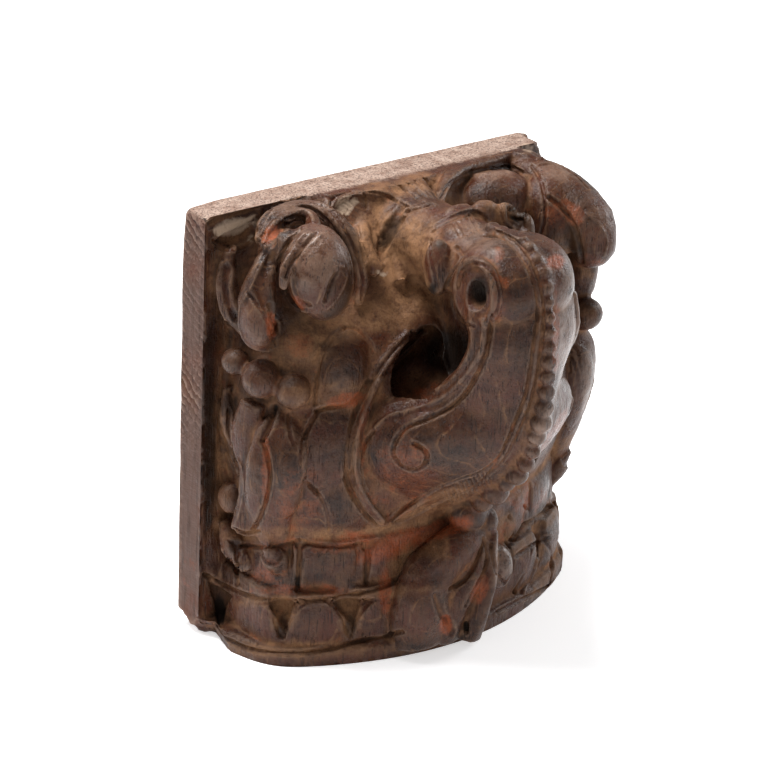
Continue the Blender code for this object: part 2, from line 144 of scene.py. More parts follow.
def view_axes():
    """Right, up and back of the photograph's camera."""
    turn, rise, roll = (math.radians(angle) for angle in (EYE_TURN, EYE_RISE, EYE_ROLL))
    back = np.array((math.sin(turn) * math.cos(rise), -math.cos(turn) * math.cos(rise), math.sin(rise)))
    right = np.array((math.cos(turn), math.sin(turn), 0.0))
    up = np.cross(back, right)
    return (right * math.cos(roll) + up * math.sin(roll), up * math.cos(roll) - right * math.sin(roll), back)


RIGHT, UP, BACK = view_axes()
EYE = EYE_TARGET + BACK * EYE_DISTANCE


def on_photo(points):
    """Where points in millimetres fall on the photograph's frame, and how far off they are."""
    offset = points - EYE
    depth = -(offset @ BACK)
    across = PHOTO_SIZE / 2 - SHIFT_RIGHT + FOCAL_PIXELS * (offset @ RIGHT) / depth
    down = PHOTO_SIZE / 2 + SHIFT_UP - FOCAL_PIXELS * (offset @ UP) / depth
    return across, down, depth


def sight(across, down):
    """The direction from the eye through a spot on the photograph's frame."""
    x = (across - PHOTO_SIZE / 2 + SHIFT_RIGHT) / FOCAL_PIXELS
    y = (PHOTO_SIZE / 2 + SHIFT_UP - down) / FOCAL_PIXELS
    way = RIGHT * x + UP * y - BACK
    return way / np.linalg.norm(way)


def add_object(name, data):
    """Put a mesh, a light or a camera into the scene."""
    item = bpy.data.objects.new(name, data)
    bpy.context.scene.collection.objects.link(item)
    return item


# Laying out the forms


def place(across, ahead, up):
    """A point given across, ahead of the board's face and up, as a position in metres."""
    return Vector((across * MM, (FACE_Y - ahead) * MM, up * MM))


def add_form(shape, forms):
    """Put a finished shape on the list of forms as a mesh."""
    bmesh.ops.recalc_face_normals(shape, faces=shape.faces)
    mesh = bpy.data.meshes.new("form")
    shape.to_mesh(mesh)
    shape.free()
    forms.append(mesh)


def ball(forms, centre, radii, tilt=(0, 0, 0), rounds=4):
    """An ellipsoid; tilt turns it about X, Y and Z in degrees."""
    shape = bmesh.new()
    bmesh.ops.create_icosphere(shape, subdivisions=rounds, radius=1.0)
    turn = Matrix.Rotation(math.radians(tilt[2]), 4, "Z")
    turn @= Matrix.Rotation(math.radians(tilt[1]), 4, "Y")
    turn @= Matrix.Rotation(math.radians(tilt[0]), 4, "X")
    size = Matrix.Diagonal((radii[0] * MM, radii[1] * MM, radii[2] * MM, 1.0))
    shape.transform(Matrix.Translation(place(*centre)) @ turn @ size)
    add_form(shape, forms)


def tile(forms, centre, half_sizes, softness):
    """A block with rounded edges; softness is the rounding as a share of its smallest half size."""
    shape = bmesh.new()
    bmesh.ops.create_cube(shape, size=2.0)
    shape.transform(Matrix.Diagonal((half_sizes[0] * MM, half_sizes[1] * MM, half_sizes[2] * MM, 1.0)))
    bmesh.ops.bevel(shape, geom=shape.edges[:], offset=min(half_sizes) * softness * MM, segments=4,
                    profile=0.5, affect="EDGES")
    shape.transform(Matrix.Translation(place(*centre)))
    add_form(shape, forms)


def spread(values, steps):
    """Smooth values put in between those given, with so many steps to each stretch."""
    ends = [2 * values[0] - values[1], *values, 2 * values[-1] - values[-2]]
    result = []
    for before, start, stop, after in zip(ends, ends[1:], ends[2:], ends[3:]):
        for step in range(steps):
            t = step / steps
            result.append(0.5 * (2 * start + (stop - before) * t
                                 + (2 * before - 5 * start + 4 * stop - after) * t * t
                                 + (3 * start - before - 3 * stop + after) * t ** 3))
    result.append(values[-1])
    return result


def smooth_path(points, steps):
    """A smooth curve through the points, with the given number of steps to each stretch."""
    return spread([Vector(point) for point in points], steps)


def skin(forms, rings):
    """A closed form through rings of points, with both ends filled."""
    shape = bmesh.new()
    levels = [[shape.verts.new(point) for point in ring] for ring in rings]
    count = len(rings[0])
    for lower, upper in zip(levels, levels[1:]):
        for index in range(count):
            after = (index + 1) % count
            shape.faces.new((lower[index], lower[after], upper[after], upper[index]))
    shape.faces.new(levels[0])
    shape.faces.new(levels[-1])
    add_form(shape, forms)


def blend(values, share):
    """The value at a share of the way along a short list of values."""
    spot = share * (len(values) - 1)
    index = min(int(spot), len(values) - 2)
    part = spot - index
    return values[index] * (1 - part) + values[index + 1] * part


def limb(forms, points, widths, depths, facing, steps=8, around=20):
    """A strand: half its width lies across the path, half its depth along facing."""
    centres = smooth_path([place(*point) for point in points], steps)
    outward = Vector((facing[0], -facing[1], facing[2])).normalized()
    last = len(centres) - 1
    rings = []
    for index, centre in enumerate(centres):
        along = centres[min(index + 1, last)] - centres[max(index - 1, 0)]
        side = along.cross(outward).normalized()
        face = side.cross(along).normalized()
        width = blend(widths, index / last) * MM
        depth = blend(depths, index / last) * MM
        ring = []
        for part in range(around):
            angle = math.tau * part / around
            ring.append(centre + side * width * math.cos(angle) + face * depth * math.sin(angle))
        rings.append(ring)
    skin(forms, rings)


def bow_ahead(across, middle, half_width):
    """How far a bow-fronted section stands ahead: a shallow arch with quickly rounded corners."""
    arch = middle - BOW_DROP * (across / BOW_SPAN) ** 2
    return arch * (1 - min(abs(across) / half_width, 1.0) ** CORNER_SHARPNESS)


def bow_ring(up, middle, half_width, undercut, steps=96):
    """One level of a bow-fronted form; undercut draws its sides in towards the board."""
    narrow = half_width - SIDE_UNDERCUT if undercut else half_width
    ring = [place(narrow, -TRIM_ALLOWANCE, up), place(-narrow, -TRIM_ALLOWANCE, up)]
    for index in range(1, steps):
        across = -half_width * math.cos(math.pi * index / steps)
        ahead = bow_ahead(across, middle, half_width)
        if undercut:
            across -= math.copysign(SIDE_UNDERCUT * max(0.0, 1 - ahead / UNDERCUT_REACH), across)
        ring.append(place(across, ahead, up))
    return ring


def add_board(forms):
    """The flat board at the back, a little too large until the skin is clipped to size."""
    shape = bmesh.new()
    bmesh.ops.create_cube(shape, size=1.0)
    size = Vector((WIDTH, BOARD_THICKNESS, HEIGHT)) + 2 * Vector((TRIM_ALLOWANCE, 0, TRIM_ALLOWANCE))
    size.y += TRIM_ALLOWANCE
    centre = place(0, -size.y / 2, HEIGHT / 2)
    shape.transform(Matrix.Translation(centre) @ Matrix.Diagonal((*(size * MM), 1.0)))
    add_form(shape, forms)


def add_bell(forms):
    """The bell that the leaves lie on, and the plinth under it."""
    levels = smooth_path(BELL_LEVELS, 4)
    skin(forms, [bow_ring(*level, True) for level in levels])
    plinth = [(-TRIM_ALLOWANCE, 0), (PLINTH_HEIGHT - PLINTH_ROUNDING, 0), (PLINTH_HEIGHT, -PLINTH_ROUNDING)]
    skin(forms, [bow_ring(up, PLINTH_BOW + inset, PLINTH_HALF_WIDTH + inset, False) for up, inset in plinth])


def bow_path(middle, half_width, count=400):
    """Points along one half of a bow front, from the board round the corner to the middle."""
    points = []
    for index in range(count + 1):
        across = half_width * math.cos(math.pi / 2 * index / count)
        points.append(Vector((across, bow_ahead(across, middle, half_width))))
    return points


def spot_on_bow(path, length):
    """The point at a length along a bow path, and the heading of the path there in degrees."""
    run = 0.0
    for start, stop in zip(path, path[1:]):
        step = (stop - start).length
        if run + step >= length:
            share = (length - run) / step
            heading = math.degrees(math.atan2(stop.y - start.y, start.x - stop.x))
            return start.lerp(stop, share), heading
        run += step
    return path[-1], 0.0


def add_darts(forms, middle, half_width, lengths, levels, widths, depth):
    """Cuts between the petals of a row, at the given lengths along the bow from the board."""
    path = bow_path(middle, half_width)
    for side in SIDES:
        for length in lengths:
            point, heading = spot_on_bow(path, length)
            normal = (side * math.sin(math.radians(heading)), math.cos(math.radians(heading)), 0)
            points = [(side * point.x, point.y, up) for up in levels]
            limb(forms, points, widths, (depth, depth, depth * 0.4), normal)


def add_base(forms):
    """The tongue and the bead at each end of the base."""
    for side in SIDES:
        limb(forms, [(side * 96, 3, 62), (side * 96, 12, 52), (side * 95, 20, 42)], (3, 6, 3), (4, 6, 4),
             (side, 0.4, 0))
        ball(forms, (side * 97, 9, 77), (6, 7, 8))


def add_base_leaf(forms):
    """The curled leaf that covers the middle of the base, with its foot and its knob."""
    limb(forms, [(12, 72, 60), (-8, 76, 54), (-24, 75, 42), (-30, 76, 24), (-29, 74, 5)],
         (5, 11, 14, 15, 13), (6, 9, 10, 10, 7), (-0.3, 1, 0.2))
    limb(forms, [(10, 74, 56), (-6, 80, 38), (-14, 79, 20), (-13, 76, 4)], (4, 8, 9, 8), (6, 9, 8, 6),
         (0, 1, 0.2))
    limb(forms, [(12, 75, 56), (4, 83, 36), (0, 84, 20), (-1, 80, 3)], (4, 5, 5, 7), (6, 8, 7, 6),
         (0.1, 1, 0.2))
    ball(forms, (16, 79, 36), (8, 8, 12))
    ball(forms, (10, 74, 62), (6, 8, 8))


def add_scroll(forms):
    """The keeled scroll: flanks from the keel back to an edge, then in behind it."""
    rings = []
    steps = 16
    for up, keel, across, ahead, behind, swell in spread(np.array(SCROLL_SECTIONS, float), 4):
        half = []
        fall = keel - ahead
        slant = math.hypot(across, fall)
        for step in range(steps + 1):
            t = step / steps
            bulge = swell * math.sin(math.pi * t ** 1.2)
            half.append((across * t + bulge * fall / slant, keel - fall * t + bulge * across / slant))
        half[0] = (0, keel)
        half.append((across * 0.8, ahead - behind * 0.6))
        half.append((across * 0.4, ahead - behind))
        ring = [place(x * RIGHT_FLANK_FULLNESS, y, up) for x, y in half]
        ring += [place(-x, y, up) for x, y in reversed(half[1:])]
        rings.append(ring)
    skin(forms, rings)
    tile(forms, (0, 52, 150), (7, 54, 46), 0.3)
    limb(forms, [(0, -2, 197), (0, 30, 197), (0, 60, 198), (0, 88, 198)], (27, 22, 21, 24), (21, 20, 18, 18),
         (0, 0, 1))
    for side in SIDES:
        limb(forms, [(side * 44, 61, 70), (side * 29, 67, 80), (side * 16, 78, 91), (side * 5, 95, 104)],
             (2, 3, 3, 2), (3, 4, 4, 3), (side * 0.3, 1, -0.3))
    add_head(forms)


def add_head(forms, steps=40, around=56):
    """The rolled head: a barrel that lies across, with flattened cheeks."""
    rings = []
    for index in range(steps + 1):
        share = math.sin(math.pi * (index / steps - 0.5)) * 0.985
        barrel = (1 - abs(share) ** CHEEK_FLATNESS) ** CHEEK_ROUNDING
        ring = []
        for part in range(around):
            angle = math.tau * part / around
            ring.append(place(HEAD_HALF_WIDTH * share, HEAD_AHEAD + HEAD_RADII[0] * barrel * math.cos(angle),
                              HEAD_UP + HEAD_RADII[1] * barrel * math.sin(angle)))
        rings.append(ring)
    skin(forms, rings)


# What the crest's node tree asks for: its name, its kind and its value
CREST_INPUTS = (
    ("Beads", "Int", CREST_BEADS), ("Bead radius", "Float", CREST_BEAD_RADIUS * MM),
    ("Crowding", "Float", CREST_CROWDING), ("Unevenness", "Float", CREST_UNEVENNESS),
    ("Seed", "Int", CREST_SEED),
)


def crest_tree():
    """The node tree that sets beads along a path: closer and smaller further on, none quite alike."""
    tree = bpy.data.node_groups.new("crest_beads", "GeometryNodeTree")
    face = tree.interface
    face.new_socket("Geometry", in_out="INPUT", socket_type="NodeSocketGeometry")
    for name, kind, value in CREST_INPUTS:
        face.new_socket(name, in_out="INPUT", socket_type="NodeSocket" + kind).default_value = value
    face.new_socket("Material", in_out="INPUT", socket_type="NodeSocketMaterial")
    face.new_socket("Geometry", in_out="OUTPUT", socket_type="NodeSocketGeometry")

    def node(kind, values, settings=None, out=0):
        """Add a node, feed its inputs, by name or number, and return one output."""
        item = tree.nodes.new(kind)
        for name, value in (settings or {}).items():
            setattr(item, name, value)
        for name, value in values.items():
            if isinstance(value, bpy.types.NodeSocket):
                tree.links.new(value, item.inputs[name])
            else:
                item.inputs[name].default_value = value
        return item.outputs[out]

    def maths(operation, first, second):
        return node("ShaderNodeMath", {0: first, 1: second}, {"operation": operation})

    given = tree.nodes.new("NodeGroupInput").outputs
    path = node("GeometryNodeMeshToCurve", {"Mesh": given["Geometry"]})
    points = node("GeometryNodePoints", {"Count": given["Beads"], "Radius": given["Bead radius"]})
    order = node("GeometryNodeInputIndex", {})
    share = maths("DIVIDE", maths("ADD", order, 0.5), given["Beads"])
    along = maths("POWER", share, given["Crowding"])
    spot = node("GeometryNodeSampleCurve", {"Curves": path, "Factor": along},
                {"mode": "FACTOR", "use_all_curves": True}, "Position")
    set_out = node("GeometryNodeSetPosition", {"Geometry": points, "Position": spot})
    growth = maths("POWER", share, maths("SUBTRACT", given["Crowding"], 1.0))
    low = maths("SUBTRACT", 1.0, given["Unevenness"])
    high = maths("ADD", 1.0, given["Unevenness"])
    chance = node("FunctionNodeRandomValue", {2: low, 3: high, "ID": order, "Seed": given["Seed"]},
                  {"data_type": "FLOAT"}, 1)
    size = maths("MULTIPLY", maths("MULTIPLY", growth, given["Bead radius"]), chance)
    bead = node("GeometryNodeMeshIcoSphere", {"Radius": 1.0, "Subdivisions": 4})
    beads = node("GeometryNodeInstanceOnPoints", {"Points": set_out, "Instance": bead, "Scale": size})
    solid = node("GeometryNodeRealizeInstances", {"Geometry": beads})
    made = node("GeometryNodeSetMaterial", {"Geometry": solid, "Material": given["Material"]})
    tree.links.new(made, tree.nodes.new("NodeGroupOutput").inputs[0])
    return tree


def make_crest():
    """The beaded ridge along the keel, as one mesh."""
    line = smooth_path([(0, ahead - CREST_SINKING, up) for ahead, up in KEEL], 10)
    mesh = bpy.data.meshes.new("crest_path")
    edges = [(index, index + 1) for index in range(len(line) - 1)]
    mesh.from_pydata([place(*spot) for spot in line], edges, [])
    item = add_object("crest_path", mesh)
    modifier = item.modifiers.new("beads", "NODES")
    modifier.node_group = crest_tree()
    given = {entry.name: entry.identifier for entry in modifier.node_group.interface.items_tree
             if entry.in_out == "INPUT"}
    for name, _, value in CREST_INPUTS:
        modifier[given[name]] = value
    modifier[given["Material"]] = bpy.data.materials.new("bead_wood")
    beads = bpy.data.meshes.new_from_object(item.evaluated_get(bpy.context.evaluated_depsgraph_get()))
    item.modifiers.clear()
    bpy.data.objects.remove(item)
    return beads


def add_crest(forms):
    """The beads along the keel, and the low ridge that they sit on."""
    ridge = [(0, ahead - RIDGE_SINKING, up) for ahead, up in KEEL[1:]]
    limb(forms, ridge, RIDGE_HALF_WIDTHS, (2.5, 2.5), (0.01, 0, 1), around=12)
    shape = bmesh.new()
    shape.from_mesh(make_crest())
    add_form(shape, forms)


def add_eye_rings(forms):
    """The ring round each eye; the right one is smaller and set back, as the photograph shows it."""
    for side in SIDES:
        size, back, proud = (1.0, 0.0, 3.0) if side < 0 else (0.7, 8.0, 1.6)
        steps = 16
        points = []
        for step in range(steps + 1):
            angle = math.tau * step / steps
            points.append((side * EYE_ACROSS, EYE_AHEAD - back + size * EYE_RING[0] * math.cos(angle),
                           EYE_UP + size * EYE_RING[1] * math.sin(angle)))
        limb(forms, points, (2.2, 2.2), (proud, proud), (side, 0, 0), steps=4, around=16)


def add_frill(forms):
    """Lobes of the leaf that wraps the back of the scroll's head."""
    lobes = (
        (-22, 66, 199, 6, 8, 14, 0), (-9, 62, 209, 7, 8, 7, 0), (4, 49, 212, 11, 5, 8, 0),
        (18, 51, 213, 8, 5, 7, -10), (28, 55, 210, 7, 5, 8, -25), (34, 62, 204, 6, 5, 10, -40),
    )
    for across, ahead, up, wide, deep, tall, turn in lobes:
        ball(forms, (across, ahead, up), (wide, deep, tall), tilt=(0, 0, turn))


def to_left(points):
    """Points that are given on the right, moved to the left side."""
    return [(-across, ahead, up) for across, ahead, up in points]


def add_left_corner(forms):
    """The upper left corner: hooded egg-shaped bud, hooked petal and two hanging petals."""
    ball(forms, (-74, 42, 200), (16, 16, 23), tilt=(-24, 0, 0))
    ball(forms, (-82, 22, 208), (10, 16, 7), tilt=(-30, -20, 0))
    hood = [(88, 14, 208), (81, 9, 214), (71, 7, 217), (58, 6, 218), (50, 13, 216), (46, 24, 210),
            (43, 31, 200), (43, 36, 188), (48, 40, 177)]
    limb(forms, to_left(hood), (2, 3.5, 4, 4, 4, 4, 4, 3.5, 2), (2, 4, 4, 4, 4, 4, 4, 4, 2), (0, 1, 0.3))
    hook = [(92.5, 24, 211), (84, 18, 214), (75, 14, 216), (66, 12, 217), (60, 14, 216), (61, 20, 214),
            (69, 28, 213), (80, 35, 211.5), (89.5, 40, 208.5), (94.5, 43, 203), (95, 43, 196)]
    limb(forms, to_left(hook), (1.5, 2.5, 3, 3.2, 3.2, 3.2, 3.2, 3.2, 3, 2.5, 1.5),
         (2, 3, 3.5, 3.5, 3.5, 4, 4, 4, 4, 3, 2), (0.1, 1, 0.6))
    limb(forms, to_left([(80, 18, 212), (91, 24, 200), (97, 26, 185), (98, 28, 170), (93, 29, 161)]),
         (2, 6, 9, 8, 3), (3, 7, 8, 8, 3), (-1, 1, 0))
    limb(forms, to_left([(95, 3, 205), (99, 5, 190), (99, 9, 176), (95, 15, 164)]), (2, 5, 6, 2),
         (3, 5, 5, 3), (-1, 0.5, 0))


def add_right_corner(forms):
    """The same corner on the right, which the carver made fuller and turned further out."""
    ball(forms, (80, 33, 195), (15, 14, 22), tilt=(-24, 0, 0))
    limb(forms, [(82, 4, 212), (86, 17, 210), (91, 33, 203), (93, 45, 192), (92, 50, 180), (90, 48, 171)],
         (8, 12, 15, 15.5, 12, 4), (5, 8, 11, 14, 13, 4), (0.5, 1, 0.5))
    strap = [(97, 12, 211), (89, 6, 215.5), (81, 4, 218), (83, 9, 216.5), (87, 15, 211), (89, 21, 202),
             (86, 29, 194), (78, 37, 184)]
    limb(forms, strap, (2, 3, 3.5, 4, 4, 4, 3.5, 2), (2, 3, 3.5, 4, 4, 4, 4, 2), (0, 1, 0.3))
    ball(forms, (56, 17, 203), (21, 15, 14), tilt=(-24, 0, 0))
    limb(forms, [(12, 25, 213), (26, 14, 217), (37, 8, 217.5), (47, 5, 217.5), (60, 4, 217.5), (80, 3, 217)],
         (2, 3, 3.5, 4, 4, 3), (3, 4, 4, 4, 4, 2), (0, 1, 0.3))
    limb(forms, [(104, 3, 205), (103, 6, 190), (103, 10, 176), (100, 15, 164)], (2, 5, 5, 2), (3, 5, 5, 3),
         (1, 0.5, 0))
    limb(forms, [(98, 36, 176), (100, 36, 164), (101, 34, 152), (99, 32, 142)], (6, 8, 8, 5), (8, 10, 9, 6),
         (0.2, 1, 0))


def add_berries(forms, side):
    """The three berries under an upper corner."""
    for across, ahead, up, radius in LEFT_BERRIES if side < 0 else RIGHT_BERRIES:
        ball(forms, (side * across, ahead, up), (radius, radius, radius))


def add_ribbons(forms, side):
    """The hanging ribbons at the corner of the bell."""
    limb(forms, [(side * 98, 26, 134), (side * 99, 24, 118), (side * 98, 27, 100), (side * 98, 26, 84),
                 (side * 99, 23, 66)], (6, 9, 7, 6, 7), (4, 5, 5, 5, 6), (side, 0.35, 0))
    limb(forms, [(side * 97, 5, 134), (side * 98, 8, 118), (side * 98, 14, 106)], (2, 5, 2), (3, 5, 3),
         (side, 0.2, 0))


def add_corner_blade(forms, side):
    """The smooth leaf that rounds the front corner of the bell, and the tip below it."""
    if side < 0:
        limb(forms, [(-90, 35, 62), (-95, 38, 84), (-96, 42, 106), (-92, 41, 122), (-86, 38, 130)],
             (7, 12, 14, 12, 5), (4, 5, 5, 4, 2), (-0.7, 0.7, 0))
    else:
        limb(forms, [(93, 36, 60), (95, 40, 80), (97, 45, 104), (97, 44, 122), (92, 39, 137)],
             (7, 10, 11, 11, 6), (4, 6, 6, 5, 3), (0.25, 1, 0))
    limb(forms, [(side * 84, 37, 50), (side * 93, 39, 57), (side * 99, 40, 63)], (7, 5, 1.5), (5, 4, 1.5),
         (side * 0.7, 0.7, 0.3))


def add_inner_leaf(forms):
    """The leaf between the left corner and the middle: arched rim, stem and blade."""
    limb(forms, to_left([(43, 8, 213), (38, 6, 218), (29, 6, 219), (18, 9, 218), (6, 14, 214), (-1, 19, 208)]),
         (2, 3, 3, 3, 3, 2), (2, 4, 4, 4, 4, 3), (0, 1, 0.3))
    limb(forms, to_left([(26.8, 14, 205.1), (34, 24, 201.6), (37.7, 32, 195.8), (33.7, 38, 189.8)]),
         (3, 5, 5.5, 4), (4, 5, 5, 4), (0, 1, 0.3))
    limb(forms, to_left([(8, 20, 208), (16, 30, 196), (22, 40, 182)]), (3, 6, 4), (3, 4, 4), (0, 1, 0.3))


def add_bell_petals(forms, side):
    """Low overlapping petals on the flank of the bell."""
    ball(forms, (side * 58, 43, 150), (15, 9, 18), tilt=(-12, 0, side * 18))
    ball(forms, (side * 74, 41, 112), (14, 11, 24), tilt=(0, 0, side * 24))
    limb(forms, [(side * 27, 53, 163), (side * 44, 54, 149), (side * 56, 57, 131), (side * 61, 58, 112),
                 (side * 58, 60, 91), (side * 45, 62, 70)],
         (2, 3, 3, 3, 3, 2), (2, 4, 4, 4, 4, 3), (side * 0.4, 1, 0))


def add_middle_fan(forms):
    """The low leaf on top, between the board and the scroll's head."""
    limb(forms, [(8, 2, 217), (6, 14, 215), (2, 34, 212)], (12, 9, 5), (3, 4, 4), (0, 0.2, 1))


def all_forms():
    """Every form of the work, still apart from one another."""
    forms = []
    for add in (add_board, add_bell, add_base, add_base_leaf, add_scroll, add_crest, add_eye_rings, add_frill,
                add_middle_fan, add_left_corner, add_inner_leaf, add_right_corner):
        add(forms)
    for side in SIDES:
        for add in (add_berries, add_ribbons, add_corner_blade, add_bell_petals):
            add(forms, side)
    return forms


def all_hollows():
    """The hollows behind the scroll's neck, the eyes of its head and the darts between petals."""
    forms = []
    for side in SIDES:
        ball(forms, (side * 25, 43, 147), (12, 34, 22), tilt=(0, -side * 45, 0))
        ball(forms, (side * 25, 61, 142), (15, 26, 14))
        ball(forms, (side * (EYE_ACROSS + 5), EYE_AHEAD + 1, EYE_UP - 1), (11, 6, 7.5))
    add_darts(forms, 75, 104, (12, 46, 80), (42, 30, 13), (11, 5, 1.5), 6)
    add_darts(forms, 70, 100, (22, 46, 80), (63, 52, 40), (1.5, 2, 5), 4)
    return forms


def fuse(name, forms):
    """Join the forms into one mesh object."""
    joined = bmesh.new()
    for mesh in forms:
        joined.from_mesh(mesh)
        bpy.data.meshes.remove(mesh)
    result = bpy.data.meshes.new(name)
    joined.to_mesh(result)
    joined.free()
    return add_object(name, result)


def add_voxel_skin(item, size):
    """Grow one closed skin over an object; size is the spacing of its points in millimetres."""
    merge = item.modifiers.new("one skin", "REMESH")
    merge.mode = "VOXEL"
    merge.voxel_size = size * MM


def settle(item):
    """Turn an object's modifiers into its plain mesh."""
    graph = bpy.context.evaluated_depsgraph_get()
    mesh = bpy.data.meshes.new_from_object(item.evaluated_get(graph), depsgraph=graph)
    old = item.data
    item.modifiers.clear()
    item.data = mesh
    bpy.data.meshes.remove(old)


def carve_block():
    """All the forms as one fine closed skin, with the deep hollows cut."""
    block = fuse("corbel", all_forms())
    hollows = fuse("hollows", all_hollows())
    add_voxel_skin(hollows, ROUGH_SKIN)
    add_voxel_skin(block, ROUGH_SKIN)
    cut = block.modifiers.new("hollows", "BOOLEAN")
    cut.operation = "DIFFERENCE"
    cut.solver = "MANIFOLD"
    cut.object = hollows
    add_voxel_skin(block, FINE_SKIN)
    settle(block)
    bpy.data.objects.remove(hollows)
    return block


def noise(points, size, seed=0):
    """Smooth noise from -1 to 1 that is the same each run; points and size are in millimetres."""
    scaled = points / size
    cell = np.floor(scaled).astype(np.int64)
    part = scaled - cell
    part = part * part * (3 - 2 * part)
    total = np.zeros(len(points))
    for corner in np.ndindex(2, 2, 2):
        spot = cell + np.array(corner)
        mixed = spot[:, 0] * 374761393 + spot[:, 1] * 668265263 + spot[:, 2] * 974634777 + seed * 5915587
        mixed = (mixed ^ (mixed >> 13)) * 1274126177
        value = ((mixed ^ (mixed >> 16)) & 65535) / 32767.5 - 1
        share = np.prod(np.where(corner, part, 1 - part), axis=1)
        total += value * share
    return total


class Wood:
    """The skin of the work as arrays in millimetres, with the carver's strokes as its methods."""

    def __init__(self, item):
        self.item = item
        mesh = item.data
        count = len(mesh.vertices)
        self.points = np.empty(count * 3)
        mesh.vertices.foreach_get("co", self.points)
        self.points = self.points.reshape(-1, 3) / MM
        self.normals = np.empty(count * 3)
        mesh.vertices.foreach_get("normal", self.normals)
        self.normals = self.normals.reshape(-1, 3)
        self.push = np.zeros(count)
        self.sights = {}
        self.tree = BVHTree.FromPolygons([Vector(p) for p in self.points],
                                         [tuple(face.vertices) for face in mesh.polygons])

    def seen(self, across, down):
        """The point of the skin that shows at a spot of the photograph's frame."""
        hit = self.tree.ray_cast(Vector(EYE), Vector(sight(across, down)))
        return None if hit[0] is None else np.array(hit[0])

    def line(self, spots, steps=6):
        """A smooth line through spots of the photograph's frame, carried onto the skin."""
        flat = smooth_path([(*spot, 0.0) for spot in spots], steps)
        path = [self.seen(spot.x, spot.y) for spot in flat]
        return np.array([point for point in path if point is not None])

    def mirrored(self, path, shift=0.0):
        """The same line on the other side, laid onto the nearest skin."""
        result = []
        for x, y, z in path:
            hit = self.tree.find_nearest(Vector((-x + shift, y, z)))
            result.append(np.array(hit[0]))
        return np.array(result)

    def near(self, path, reach):
        """The vertices within reach of a path, and how far off each lies."""
        low, high = path.min(axis=0) - reach, path.max(axis=0) + reach
        inside = np.flatnonzero(np.all((self.points > low) & (self.points < high), axis=1))
        points = self.points[inside]
        gap = np.full(len(inside), np.inf)
        for start, stop in zip(path[:-1], path[1:]):
            along = stop - start
            if along @ along > LONGEST_STEP ** 2:
                continue
            share = np.clip((points - start) @ along / max(along @ along, 1e-9), 0, 1)
            gap = np.minimum(gap, np.linalg.norm(points - start - share[:, None] * along, axis=1))
        keep = gap < reach
        return inside[keep], gap[keep]

    def cut(self, path, width, depth, lip=0.12):
        """A groove along a path, with a slight swelling beside it; a negative depth is a rim."""
        inside, gap = self.near(path, width * 2.2)
        bowl = np.clip(1 - (gap / width) ** 2, 0, 1) ** 1.5
        beside = np.exp(-((gap - width * 1.35) / (width * 0.4)) ** 2)
        self.push[inside] -= depth * (bowl - lip * beside)

    def patch(self, oval, twin=False, reach=14.0):
        """The vertices in an oval of the frame, and how far inside it each lies, from 0 to 1."""
        across, down, wide, tall, turn = oval
        centre = self.seen(across, down)
        if centre is None:
            return np.zeros(0, int), np.zeros(0)
        u, v, depth, facing = self.sight_of(twin)
        middle = on_photo(centre[None])[2][0]
        c, s = math.cos(math.radians(turn)), math.sin(math.radians(turn))
        du, dv = u - across, v - down
        gap = ((du * c + dv * s) / wide) ** 2 + ((dv * c - du * s) / tall) ** 2
        inside = np.flatnonzero((gap < 1) & (np.abs(depth - middle) < reach) & (facing > -0.1))
        return inside, 1 - gap[inside]

    def sight_of(self, twin):
        """Where each vertex, or its twin across, falls on the frame, how far off it is and how turned."""
        if twin not in self.sights:
            side = (-1, 1, 1) if twin else (1, 1, 1)
            self.sights[twin] = (*on_photo(self.points * side), (self.normals * side) @ BACK)
        return self.sights[twin]

    def field(self, outline, depth, slope, reach=16.0):
        """Sink the ground inside an outline drawn on the frame; slope is how wide its side is there."""
        outline = np.array(outline, float)
        middle = outline.mean(axis=0)
        centre = self.seen(*middle)
        if centre is None:
            return
        u, v, far, facing = self.sight_of(False)
        low, high = outline.min(axis=0), outline.max(axis=0)
        level = on_photo(centre[None])[2][0]
        near = np.flatnonzero((u > low[0]) & (u < high[0]) & (v > low[1]) & (v < high[1])
                              & (np.abs(far - level) < reach) & (facing > 0))
        spots = np.stack((u[near], v[near]), axis=1)
        gap = np.full(len(near), np.inf)
        inside = np.zeros(len(near), bool)
        for start, stop in zip(outline, np.roll(outline, -1, axis=0)):
            along = stop - start
            share = np.clip((spots - start) @ along / (along @ along), 0, 1)
            gap = np.minimum(gap, np.linalg.norm(spots - start - share[:, None] * along, axis=1))
            if start[1] != stop[1]:
                crosses = (start[1] > spots[:, 1]) != (stop[1] > spots[:, 1])
                where = start[0] + (spots[:, 1] - start[1]) * along[0] / along[1]
                inside ^= crosses & (spots[:, 0] < where)
        part = np.clip(gap / slope, 0, 1)
        self.push[near] -= depth * inside * part * part * (3 - 2 * part)

    def swell(self, oval, height, twin=False):
        """Raise an oval of the skin, or sink it where the height is negative."""
        inside, share = self.patch(oval, twin)
        self.push[inside] += height * share ** SWELL_FULLNESS

    def settle(self):
        """Move the skin by what the strokes have asked for."""
        self.points += self.normals * self.push[:, None]
        self.push[:] = 0
        self.sights.clear()
        np.clip(self.points, LOW, HIGH, out=self.points)
        self.item.data.vertices.foreach_set("co", (self.points * MM).ravel())
        self.item.data.update()
        self.item.data.vertices.foreach_get("normal", self.normals.ravel())

